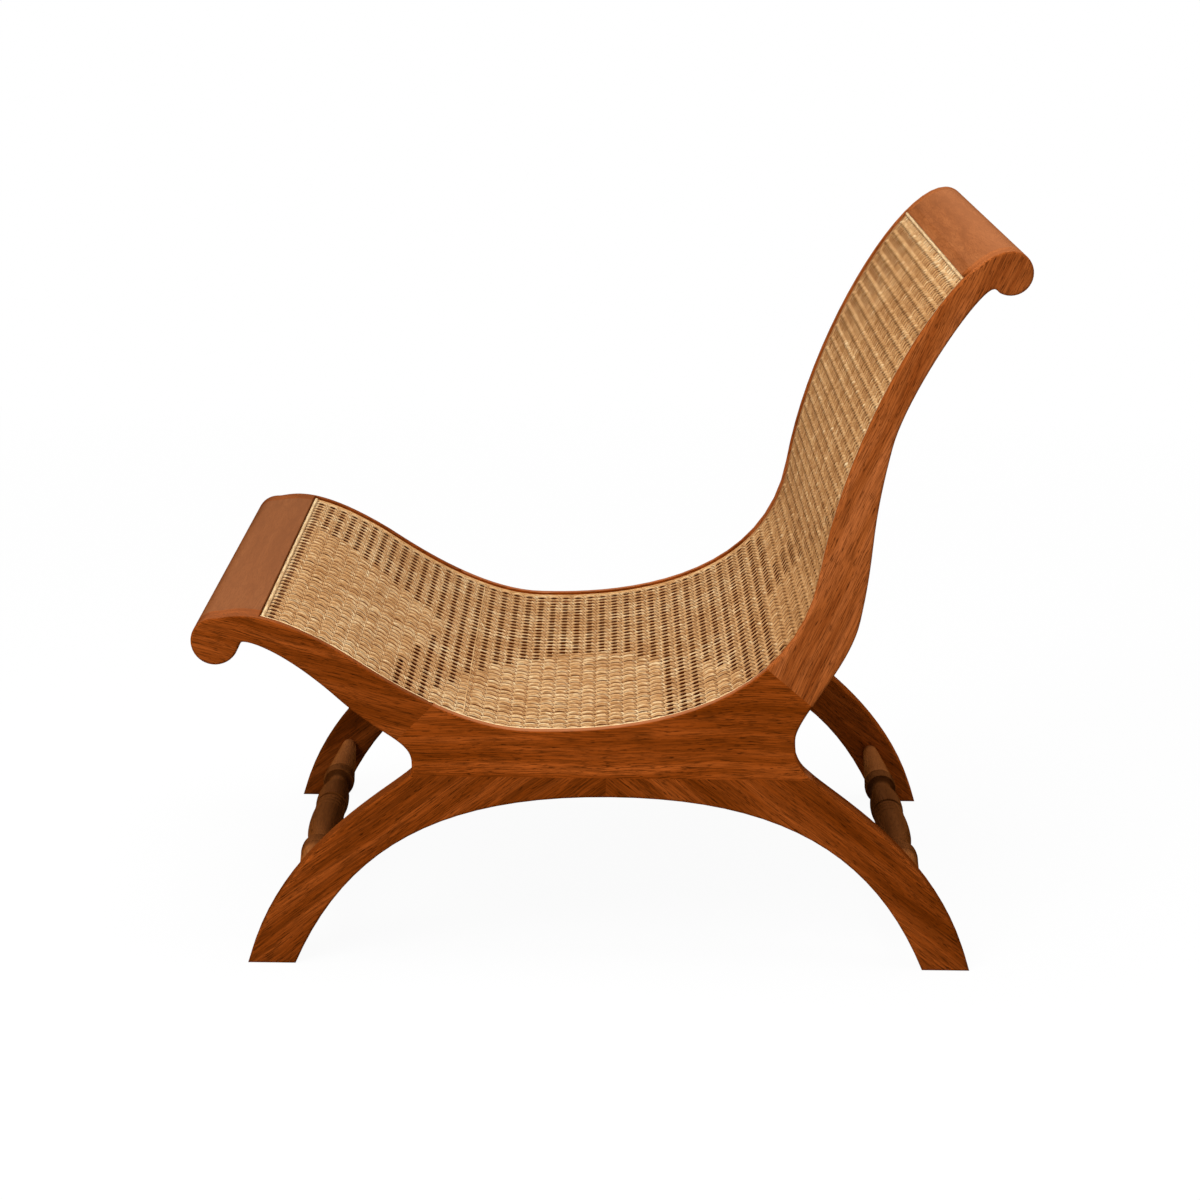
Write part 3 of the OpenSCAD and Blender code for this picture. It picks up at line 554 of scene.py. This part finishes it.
# The weave: bundles of three canes run from front to back. Across them, at each column's edge, a
# pair of canes is twined round the bundles. Where a gap is open, the canes beside it draw together
# and leave a hole; elsewhere they spread out, in low arches. Lengths are in mm.
# Shares are places in a column, with the hole's wave there. Depths are measured down from the seat
# line. The sets are values at a rib, in a closed cell and beside a hole. Shade is how much painted
# shade, with some dirt, a strand gets: at a bundle's outer sides, at its inner seams, and where a
# twined cane dips. Up the back the bundles lie flatter and darker, as painted shade, and the twined
# pairs stand over them as smooth ridges with less painted shade, so paler. Sway and blotch are slow
# noises, with a value every few points. Pale ends are how far from the front and the top end a strand
# turns paler, and over what length. Tones are each set of strands' own, and the painted shade added
# up the back.
weave = {
    "edge": 301.0, "rows": 41, "columns": 67, "firstColumn": 17.025, "columnPitch": 13.85, "seed": 4,
    "shares": (0.0, 0.22, 0.34, 0.5, 0.66, 0.78), "holeWave": (0.0, 0.15, 0.9, 1.0, 0.9, 0.15), "sides": 6,
    "spread": (4.1, 4.6, 2.1), "wide": (4.0, 4.5, 2.0), "thick": (1.3, 1.6, 1.1),
    "rise": (0.0, 0.9, 0.6), "bow": (0.0, 1.5, 0.9), "depth": 4.6, "roof": 0.5,
    "hem": (3.0, 4.3), "hemFall": 4.0, "hemTilt": 1e-3, "inset": 0.8,
    "sideShade": (0.9, 0.85, 1.0), "seamShade": 0.24, "uneven": 0.16, "sway": 0.35, "swayEvery": 5,
    "blotch": 0.13, "blotchEvery": 3, "ownTone": 0.08, "endTone": 0.35, "paleEnds": ((8, 4), (19, 5)),
    "tones": {"bundles": (0.63, -0.26), "twining": (0.68, -0.24), "ridges": (0.7, 0)},
    "twineReach": 2.1, "twineLift": 1.4, "twineWide": 2.5, "twineThick": 1.2, "twineSteps": 8,
    "twineSides": 6, "twineShade": (0.5, 0.8), "twineJitter": 0.12, "halfOpen": (0.8, 0.55), "uvGap": 1.7,
    "ridgeShift": -3.9, "ridgeDepths": (4.8, 3.1), "ridgeDip": 0.15, "ridgeRaised": 0.08, "ridgeJitter": 0.15,
    "ridgeWide": 1.3, "ridgeThick": 0.9, "ridgeSteps": 2, "ridgeSides": 6,
    "back": {
        "span": (470, 600), "rise": 0.15, "lift": 1.65, "wide": 4.5, "shade": (0.26, 0.12), "seamShading": 0.08,
    },
}

# Fields where the weave is closed, as corners in percent of the cane's length and of its half width:
# the front lozenge, two that rise from the near panel, the one under the lower back, and the back
closedFields = [
    [[1.8, 53], [5.1, 50], [10.3, 35], [16.5, 25], [19.2, 13], [19.3, 0], [17.6, -20], [16.2, -50],
     [14.8, -73], [14.1, -101], [1.8, -101]],
    [[19.8, -101], [19.8, -78], [22.5, -47], [25.4, -22], [28.4, -7], [31.7, 1], [34.3, 5],
     [36.7, 5], [39.8, 0], [41.9, -9], [43.6, -21], [43.9, -40], [43.9, -101]],
    [[48.6, -101], [48.3, -46], [49.4, -46], [49.9, -60], [51.1, -63], [51.3, -75], [52.6, -77],
     [52.9, -101]],
    [[58.5, -101], [56.9, -80], [56.9, -9], [58.5, -7], [61.4, -15], [65.6, -40], [68.7, -66],
     [72.4, -101]],
    [[74.7, -101], [70.1, -66], [67.2, -37], [63, -7], [65.3, 7], [64.8, 21], [58, 24],
     [57.3, 101], [80.6, 101], [82, 85], [85.2, 65], [89.1, 49], [94.3, 39], [101, 33],
     [101, -101]]
]


# How far a length along the cane is up the back: 0 in the seat, 1 in the back, smooth between
def backShare(run):
    start, stop = weave["back"]["span"]
    share = np.clip((run - start) / (stop - start), 0, 1)
    return share * share * (3 - 2 * share)


# Even-odd test of points against a field's corners: a point is inside when a ray from it crosses an
# odd number of the field's edges
def insideField(run, y, corners):
    inside = np.zeros(np.broadcast(run, y).shape, bool)
    for (ra, ya), (rb, yb) in zip(corners, corners[1:] + corners[:1]):
        if ya != yb:
            inside ^= ((y < ya) != (y < yb)) & (run < ra + (y - ya) * (rb - ra) / (yb - ya))
    return inside


# Angles of a section's corners, from the side that faces the near panel, over the top
def sectionTurns(sides):
    return (np.arange(sides) + 0.5) * 2 * math.pi / sides


# Strands as tubes: an oval section carried along each centre line, its width level with the seat and
# its thickness along the seat's normal: centre + sideways * wide / 2 cos a + lift * thick / 2 sin a.
# Lines are (strands, points, 3) in mm with the normals there, wide and thick hold each point's width
# and thickness, and shade has a value for each corner too.
def strandMesh(name, centre, normal, wide, thick, tone, shade):
    count, steps, sides = shade.shape
    along = np.gradient(centre, axis=1)
    along /= np.linalg.norm(along, axis=2)[..., None]
    lift = normal - (normal * along).sum(2)[..., None] * along
    lift /= np.linalg.norm(lift, axis=2)[..., None]
    sideways = np.cross(along, lift)
    a = sectionTurns(sides)
    points = (centre[:, :, None] + sideways[:, :, None] * (wide[..., None] / 2 * np.cos(a))[..., None]
              + lift[:, :, None] * (thick[..., None] / 2 * np.sin(a))[..., None]).reshape(-1, 3)
    strand = np.arange(count)[:, None, None] * steps * sides
    ring = np.arange(steps - 1)[None, :, None] * sides
    turn = np.arange(sides)[None, None, :]
    first = (strand + ring + turn).ravel()
    second = (strand + ring + (turn + 1) % sides).ravel()
    quads = np.stack([first, second, second + sides, first + sides], 1)
    starts = strand[:, :, 0] + np.arange(sides)
    ends = starts + (steps - 1) * sides
    travel = np.cumsum(np.linalg.norm(np.diff(centre, axis=1), axis=2), 1) * mm
    length = np.concatenate([np.zeros((count, 1)), travel], 1) + np.arange(count)[:, None] * weave["uvGap"]
    shape = (count, steps - 1, sides)
    near = np.broadcast_to(length[:, :-1, None], shape).ravel()
    far = np.broadcast_to(length[:, 1:, None], shape).ravel()
    low = np.broadcast_to((turn + 0.5) / sides, shape).ravel()
    high = low + 1 / sides
    uv = np.stack([near, low, near, high, far, high, far, low], 1).reshape(-1, 2)
    capUv = np.zeros((2 * count * sides, 2))
    return arrayMesh(name, points * mm, [quads, starts[:, ::-1], ends], np.concatenate([uv, capUv]),
                     {"tone": np.repeat(tone.ravel(), sides), "shade": shade.ravel()})


rowPitch = 2 * weave["edge"] / weave["rows"]
chance = np.random.default_rng(weave["seed"])
ribPlaces = weave["firstColumn"] + weave["columnPitch"] * np.arange(weave["columns"] + 1)
columnEdges = np.concatenate([[ribPlaces[0] - weave["columnPitch"]], ribPlaces, [caneLength]])
columnMiddles = (columnEdges[:-1] + columnEdges[1:]) / 2
gapPlaces = -weave["edge"] + rowPitch * np.arange(weave["rows"] + 1)
openness = np.ones((len(columnMiddles), len(gapPlaces)))
for corners in closedFields:
    corners = [(run * caneLength / 100, y * weave["edge"] / 100) for run, y in corners]
    openness[insideField(columnMiddles[:, None], gapPlaces[None, :], corners)] = 0
openness[columnMiddles > weave["halfOpen"][0] * caneLength] *= weave["halfOpen"][1]
openness[:, [0, -1]] = 0
openness[-1] = 0


# Slow noise along strands: random values every few points, with straight lines between them
def slowNoise(spread, strands, steps, every):
    coarse = chance.normal(0, spread, (strands, steps // every + 2))
    return np.stack([np.interp(np.arange(steps) / every, np.arange(row.size), row) for row in coarse])


# A strand's path with its widths, thicknesses and shades, and a hem at both ends that falls into the
# groove
def withHems(path, wide, thick, shade):
    fall = [0, 0, weave["hemFall"]]
    path = np.concatenate([path[:, :1] - fall, path, path[:, -1:] - fall], 1)
    wide, thick = (np.pad(np.broadcast_to(v, path[:, 2:, 0].shape), ((0, 0), (1, 1)), "edge")
                   for v in (wide, thick))
    return path, wide, thick, np.pad(shade, ((0, 0), (1, 1), (0, 0)), "edge")


# Bundles: y is the row's middle, plus each cane's own place in the bundle, plus an arch in each cell.
# A value goes from its rib's to its closed cell's with the arch, and on to a hole's with the opening.
# The painted shade of a corner is the bundle's side shade by how far the corner faces out of the bundle.
def rowCanes():
    w = weave
    cells, rows, place = np.arange(len(columnMiddles)), np.arange(w["rows"]), np.array([-1, 0, 1])
    share = np.array(w["shares"])
    run = (columnEdges[:-1, None] + np.diff(columnEdges)[:, None] * share).ravel()
    cell = np.repeat(cells, len(share))
    arch = np.sin(math.pi * np.tile(share, len(cells)))
    hole = np.tile(w["holeWave"], len(cells))
    keep = (run > w["hem"][0]) & (run < caneLength - w["hem"][1])
    run, cell, arch, hole = run[keep], cell[keep], arch[keep], hole[keep]
    below, above = openness[cell][:, rows].T, openness[cell][:, rows + 1].T
    drawn = np.stack([below, (below + above) / 2, above], 1) * hole

    up = backShare(run)
    uneven = 1 + np.repeat(chance.normal(0, w["uneven"], (w["rows"], len(cells))), len(share), axis=1)
    arch = (arch * uneven[:, keep])[:, None]

    def blend(values):
        rib, shut, beside = values
        level = rib + (shut - rib) * arch
        return level + (beside - level) * drawn

    y = (gapPlaces[:-1] + rowPitch / 2)[:, None, None] + blend(w["bow"]) + place[:, None] * blend(w["spread"])
    rise = blend(w["rise"]) * (1 + (w["back"]["rise"] - 1) * up)
    height = -w["depth"] + rise + np.where(place == 0, w["roof"], 0)[:, None] * arch
    turns = sectionTurns(w["sides"])
    outward = np.clip(-place[:, None, None] * np.cos(turns) / math.cos(turns[0]), 0, 1)
    seamShading = (w["seamShade"] + (w["back"]["seamShading"] - w["seamShade"]) * up)[:, None] * np.abs(np.cos(turns))
    shade = np.clip(np.maximum(blend(w["sideShade"])[..., None] * outward, seamShading), 0, 1)
    y, height, wide, thick = (v.reshape(-1, len(run))
                              for v in (y, height, blend(w["wide"]), blend(w["thick"])))
    y = y + slowNoise(w["sway"], len(y), len(run), w["swayEvery"])
    y = np.clip(y, -w["edge"] + wide / 2, w["edge"] - wide / 2)
    path = np.stack([np.broadcast_to(run, y.shape), y, height], -1)
    return withHems(path, wide, thick, shade.reshape(len(y), len(run), -1))


# Places of a crossing cane's points, from one edge of the weave to the other
def crossingPlaces(stepsPerRow):
    reach = weave["edge"] - weave["inset"]
    return np.linspace(-reach, reach, weave["rows"] * stepsPerRow + 1)


# Twined pairs: theta makes half a turn in each row, a strand lies at run + reach cos(theta) and at
# height lift sin(theta), and its partner half a turn behind. It gets painted shade, with some dirt, at
# its sides and where it dips.
def twinedCanes():
    w = weave
    across = crossingPlaces(w["twineSteps"])
    theta = math.pi * ((across + w["edge"]) / rowPitch + np.array([0, 1])[:, None])
    run = ribPlaces[:, None, None] + w["twineReach"] * np.cos(theta)
    run = run + chance.normal(0, w["twineJitter"], run.shape)
    up = backShare(ribPlaces)[:, None, None]
    height = -w["depth"] + (w["twineLift"] + (w["back"]["lift"] - w["twineLift"]) * up) * np.sin(theta)
    wide = w["twineWide"] + (w["back"]["wide"] - w["twineWide"]) * np.repeat(up[:, 0], 2, axis=0)
    path = np.stack(np.broadcast_arrays(run, across, height), -1).reshape(-1, len(across), 3)
    side, dip = (a + (b - a) * up[..., None] for a, b in zip(w["twineShade"], w["back"]["shade"]))
    turns = sectionTurns(w["twineSides"])
    shade = side * np.abs(np.cos(turns)) + dip * np.clip(1 - 2 * np.sin(theta), 0, 1)[..., None]
    shade = np.clip(shade, 0, 1).reshape(len(path), len(across), -1)
    return withHems(path, wide, w["twineThick"], shade)


# Straight canes beside the twined ones, that dip slightly between the bundles: height falls by
# dip * (1 + cos) of a full turn in each row. Most lie under the bundles and show only in the holes,
# and a few in the seat lie over them.
def ridgeCanes():
    w = weave
    across = crossingPlaces(w["ridgeSteps"])
    jitter = chance.normal(0, w["ridgeJitter"], (len(ribPlaces), len(across)))
    run = ribPlaces[:, None] + w["ridgeShift"] + jitter
    under, over = w["ridgeDepths"]
    raised = (chance.random(len(ribPlaces)) < w["ridgeRaised"]) & (ribPlaces < w["back"]["span"][0])
    depth = np.where(raised, over, under)[:, None]
    wave = np.cos(2 * math.pi * (across + w["edge"]) / rowPitch)
    height = -depth - w["ridgeDip"] - w["ridgeDip"] * wave
    path = np.stack(np.broadcast_arrays(run, across, height), -1)
    return withHems(path, w["ridgeWide"], w["ridgeThick"], np.zeros((*path.shape[:2], w["ridgeSides"])))


# Strands laid on the seat, in a number of pieces, the first of which stands for the nodes replaced
def strandPieces(kind, canes, pieces, replaced=()):
    w = weave
    path, wide, thick, shade = canes
    run = path[..., 0]
    centre = seatPlace(run, path[..., 1], path[..., 2])
    heading, normal = seatFrame(run)
    # At the hems a strand runs along the normal, so the section there is held by a slightly turned one
    normal = normal + w["hemTilt"] * heading + [0, w["hemTilt"], 0]
    # Each strand has a tone of its own, that wanders a little along it, and is paler at its two ends
    strands, steps = run.shape
    middleTone, backShadeTone = w["tones"][kind]
    (front, frontFade), (top, topFade) = w["paleEnds"]
    tone = slowNoise(w["blotch"], strands, steps, w["blotchEvery"])
    own = middleTone + chance.normal(0, w["ownTone"], strands)[:, None]
    ends = np.clip((front - run) / frontFade, 0, 1) + np.clip((run - caneLength + top) / topFade, 0, 1)
    # Up the back the tone drops, as painted shade
    tone = np.clip(tone + own + backShadeTone * backShare(run) + w["endTone"] * ends, 0, 1)
    for i, part in enumerate(np.array_split(np.arange(strands), pieces)):
        label = "cane_" + kind + "_" + str(i + 1)
        mesh = strandMesh(label, centre[part], normal[part], wide[part], thick[part], tone[part], shade[part])
        addPiece(label, mesh, caneFinish, replaced if i == 0 else ())


strandPieces("bundles", rowCanes(), 4, ["cane_seat"])
strandPieces("twining", twinedCanes(), 4)
strandPieces("ridges", ridgeCanes(), 1)
print("cane woven:", weave["rows"], "bundles,", len(ribPlaces), "ribs,", int(openness.sum()), "holes")

# Splines

# Peeled rattan splines, pressed into the grooves round the cane: pale straw, half round on top, with
# painted shade along the groove's edges and up the back. Sides are which way each lies from the middle,
# how high its top stands over the seat line and its tone: the right one is pressed in deeper, and its
# darker tone is painted shade.
splines = {
    "wide": 4.0, "slack": 0.05, "bottom": -10.5, "lip": 305.0, "edgeShade": 0.15, "backShade": 0.5,
    "sides": {"left": (-1, -0.2, 1.0), "right": (1, -2.5, 0.45)}, "endTop": -0.8, "endTone": 0.88,
    "crownSteps": 9, "sideSteps": 260, "endSteps": 90,
}


# Section of a spline, [across, height] in mm from its middle: a half round over a straight shank
def splineSection(s, top):
    turn = np.linspace(0, math.pi, s["crownSteps"])
    r = s["wide"] / 2 - s["slack"]
    crown = np.stack([r * np.cos(turn), top - r + r * np.sin(turn)], 1)
    return np.concatenate([[[r, s["bottom"]]], crown, [[-r, s["bottom"]]]])


# Painted shade on a spline's corners: its edge shade where the round starts, none from a quarter up
def splineShades(s):
    turn = np.linspace(0, math.pi, s["crownSteps"])
    return s["edgeShade"] * np.concatenate([[1], np.clip(1 - 3 * np.sin(turn), 0, 1), [1]])


# A section carried along a path: corners of ring i are centre + across * side + height * up
def carriedMesh(name, centre, side, up, section, tone, shades, sharpAngle=50):
    steps, corners = len(centre), len(section)
    across, height = section[None, :, :1], section[None, :, 1:]
    points = (centre[:, None] + side[:, None] * across + up[:, None] * height).reshape(-1, 3)
    ring = np.arange(steps - 1)[:, None] * corners
    turn = np.arange(corners)[None, :]
    first, second = (ring + turn).ravel(), (ring + (turn + 1) % corners).ravel()
    quads = np.stack([first, first + corners, second + corners, second], 1)
    caps = np.stack([np.arange(corners), (steps - 1) * corners + np.arange(corners)[::-1]])
    length = np.concatenate([[0], np.cumsum(np.linalg.norm(np.diff(centre, axis=0), axis=1))]) * mm
    near, far = (np.repeat(v, corners) for v in (length[:-1], length[1:]))
    low = np.tile(np.arange(corners) / corners, steps - 1)
    high = low + 1 / corners
    uv = np.concatenate([np.stack([near, low, far, low, far, high, near, high], 1).reshape(-1, 2),
                         np.zeros((2 * corners, 2))])
    shade = np.broadcast_to(shades, (steps, corners)).ravel()
    mesh = arrayMesh(name, points * mm, [quads, caps], uv,
                     {"tone": np.full(len(points), tone), "shade": shade})
    mesh.set_sharp_from_angle(angle=math.radians(sharpAngle))
    return mesh


shades = splineShades(splines)
half = splines["wide"] / 2
runs = np.linspace(0, caneLength, splines["sideSteps"])
up = seatFrame(runs)[1]
shadedUpBack = np.clip(shades + splines["backShade"] * backShare(runs)[:, None], 0, 1)
for sideName, (sign, top, tone) in splines["sides"].items():
    centre = seatPlace(runs, sign * (splines["lip"] - half), 0 * runs)
    side = np.broadcast_to([0.0, 1.0, 0.0], centre.shape)
    label = "side_spline_" + sideName
    mesh = carriedMesh(label, centre, side, up, splineSection(splines, top), tone, shadedUpBack)
    addPiece(label, mesh, caneFinish, ["cane_spline_" + sideName])
y = np.linspace(-weave["edge"], weave["edge"], splines["endSteps"])
section = splineSection(splines, splines["endTop"])
for endName, run in (("front", half), ("top", caneLength - half)):
    runs = np.full(splines["endSteps"], run)
    heading, up = seatFrame(runs)
    label = "end_spline_" + endName
    mesh = carriedMesh(label, seatPlace(runs, y, 0 * y), -heading, up, section, splines["endTone"], shades)
    addPiece(label, mesh, caneFinish, ["cane_spline_" + endName])
print("splines laid")

# Sheet of painted shade

# A dark brown sheet close under the cane, matt and plain, which shows through its holes as painted
# shade: it stands in for the shade there and is no part of the chair. It's cut to the run between the
# rolls and the width between the boards, and reaches from board to board. Across is its half width.
shadeSheet = {
    "across": 282.9, "top": -6.9, "bottom": -7.08, "ends": 3.0, "steps": 240, "tone": 0.5,
    "thread": 1.6, "waver": 0.4, "dark": "#451a08", "light": "#642a0e", "roughness": 0.9,
}


# Two waves at right angles make a fine thread pattern. At scale 1 a wave repeats every 2 pi / 20 metres.
def shadeSheetMaterial(s):
    material, tree = newMaterial("dark sheet of painted shade")
    place = addNode(tree, "ShaderNodeTexCoord")
    waves = [addNode(tree, "ShaderNodeTexWave",
                     {"bands_direction": axis, "Scale": 2 * math.pi / (20 * s["thread"] * mm),
                      "Distortion": s["waver"]},
                     {"Vector": place.outputs["Object"]}) for axis in ("X", "Y")]
    threads = addMath(tree, "MULTIPLY", waves[0].outputs["Fac"], waves[1].outputs["Fac"])
    shader = addNode(tree, "ShaderNodeBsdfPrincipled",
                     {"Roughness": s["roughness"], "Specular IOR Level": 0.0},
                     {"Base Color": addRamp(tree, [(0.0, s["dark"]), (1.0, s["light"])], threads)})
    addNode(tree, "ShaderNodeOutputMaterial", (), {"Surface": shader.outputs[0]})
    return material


runs = np.linspace(shadeSheet["ends"], caneLength - shadeSheet["ends"], shadeSheet["steps"])
centre, up = seatPlace(runs, 0 * runs, 0 * runs), seatFrame(runs)[1]
reach, bottom, top = shadeSheet["across"], shadeSheet["bottom"], shadeSheet["top"]
corners = np.array([[reach, bottom], [reach, top], [-reach, top], [-reach, bottom]])
side = np.broadcast_to([0.0, 1.0, 0.0], centre.shape)
mesh = carriedMesh("cane_shade_sheet", centre, side, up, corners, shadeSheet["tone"], np.zeros(len(corners)))
shadeSheetPiece = addPiece("cane_shade_sheet", mesh, shadeSheetMaterial(shadeSheet))
print("lining laid")

# Dowels

# Plain pale beech, hidden in the joints
beechColours = {
    "light": "#d8b48a", "middle": "#cda67a", "dark": "#c09a6c", "streak": "#a87f52", "pore": "#9a744a",
    "topSheen": "#d8b48a",
}
dowels = {"nodes": ("mitre_dowels", "leg_dowels", "arch_dowels", "roll_dowels"), "seed": 55.0}
beech = woodMaterial("beech dowel", beechColours, (0, 0, 0), dowels["seed"])
for node in dowels["nodes"]:
    nodes[node].data.materials.clear()
    nodes[node].data.materials.append(beech)

# Camera, light and floor

# Pinhole fitted to the photograph: focal length in pixels of a 1200 pixel frame, angles in radians
camera = {
    "focal": 3259.19, "frame": 1200, "pitch": 0.2220198, "roll": 0.0117377, "yaw": -0.000620,
    "place": (-0.00296, -3.38029, 1.06433), "sensor": 36.0,
}


# Ahead is (sin yaw cos pitch, cos yaw cos pitch, -sin pitch), and right and top are turned by the roll
def placeCamera(c):
    lens = bpy.data.cameras.new("camera")
    lens.sensor_width = c["sensor"]
    lens.lens = c["focal"] / c["frame"] * c["sensor"]
    ahead = Vector((math.sin(c["yaw"]) * math.cos(c["pitch"]), math.cos(c["yaw"]) * math.cos(c["pitch"]),
                    -math.sin(c["pitch"])))
    level = Vector((math.cos(c["yaw"]), -math.sin(c["yaw"]), 0))
    up = level.cross(ahead)
    right = level * math.cos(c["roll"]) + up * math.sin(c["roll"])
    top = up * math.cos(c["roll"]) - level * math.sin(c["roll"])
    view = bpy.data.objects.new("camera", lens)
    view.matrix_world = Matrix((
        (right.x, top.x, -ahead.x, c["place"][0]), (right.y, top.y, -ahead.y, c["place"][1]),
        (right.z, top.z, -ahead.z, c["place"][2]), (0, 0, 0, 1)))
    bpy.context.scene.collection.objects.link(view)
    bpy.context.scene.camera = view


# Soft boxes: place, what they face, size in metres and power in watts
lamps = {
    "key": ((-1.6, -2.8, 2.4), (0, 0, 0.35), 2.2, 108),
    "top": ((0.2, 0.0, 3.2), (0, 0, 0.3), 2.6, 62),
}
surround = {"strength": 0.4}


def placeLamps():
    for name, (place, target, size, power) in lamps.items():
        lamp = bpy.data.lights.new(name, "AREA")
        lamp.shape, lamp.size, lamp.energy = "SQUARE", size, power
        holder = bpy.data.objects.new(name, lamp)
        holder.location = place
        holder.rotation_euler = (Vector(target) - Vector(place)).to_track_quat("-Z", "Y").to_euler()
        bpy.context.scene.collection.objects.link(holder)


# White room: the camera sees plain white, everything else gets the room's soft light
def placeSurround():
    world = bpy.data.worlds.new("white room")
    bpy.context.scene.world = world
    world.use_nodes = True
    tree = world.node_tree
    tree.nodes.clear()
    ray = addNode(tree, "ShaderNodeLightPath")
    light = addNode(tree, "ShaderNodeBackground", {"Color": (1, 1, 1, 1), "Strength": surround["strength"]})
    seen = addNode(tree, "ShaderNodeBackground", {"Color": (1, 1, 1, 1), "Strength": 1.0})
    both = addNode(tree, "ShaderNodeMixShader", (),
                   {0: ray.outputs["Is Camera Ray"], 1: light.outputs[0], 2: seen.outputs[0]})
    addNode(tree, "ShaderNodeOutputWorld", (), {"Surface": both.outputs[0]})


# Pale floor under the feet: mostly plain white to the camera, with a soft shadow left in it. Between
# the clear distances from the chair it goes over to white altogether.
floorLook = {"size": 24.0, "white": 0.95, "clear": (1.2, 3.2), "seen": 0.95, "bounced": 0.4}


def placeFloor():
    half = floorLook["size"] / 2
    mesh = bpy.data.meshes.new("floor")
    corners = [(-half, -half, 0), (half, -half, 0), (half, half, 0), (-half, half, 0)]
    mesh.from_pydata(corners, [], [(0, 1, 2, 3)])
    floor = bpy.data.objects.new("floor", mesh)
    bpy.context.scene.collection.objects.link(floor)
    material, tree = newMaterial("matt white floor")
    ray = addNode(tree, "ShaderNodeLightPath")
    place = addNode(tree, "ShaderNodeTexCoord")
    reach = addNode(tree, "ShaderNodeVectorMath", {"operation": "LENGTH"}, {0: place.outputs["Object"]})
    start, stop = floorLook["clear"]
    white = addNode(tree, "ShaderNodeMapRange",
                    {"From Min": start, "From Max": stop, "To Min": floorLook["white"], "To Max": 1.0},
                    {"Value": reach.outputs["Value"]})
    share = addMath(tree, "MULTIPLY", ray.outputs["Is Camera Ray"], white.outputs[0])
    seen, bounced = ((floorLook[label],) * 3 + (1,) for label in ("seen", "bounced"))
    tint = addNode(tree, "ShaderNodeMix", {"data_type": "RGBA", 6: bounced, 7: seen},
                   {0: ray.outputs["Is Camera Ray"]})
    matt = addNode(tree, "ShaderNodeBsdfDiffuse", (), {"Color": tint.outputs[2]})
    plain = addNode(tree, "ShaderNodeEmission", {"Color": (1, 1, 1, 1), "Strength": 1.0})
    both = addNode(tree, "ShaderNodeMixShader", (),
                   {0: share, 1: matt.outputs[0], 2: plain.outputs[0]})
    addNode(tree, "ShaderNodeOutputMaterial", (), {"Surface": both.outputs[0]})
    mesh.materials.append(material)


placeCamera(camera)
placeLamps()
placeSurround()
placeFloor()
bpy.context.scene.view_settings.view_transform = "Standard"
print("camera, lamps and floor placed")
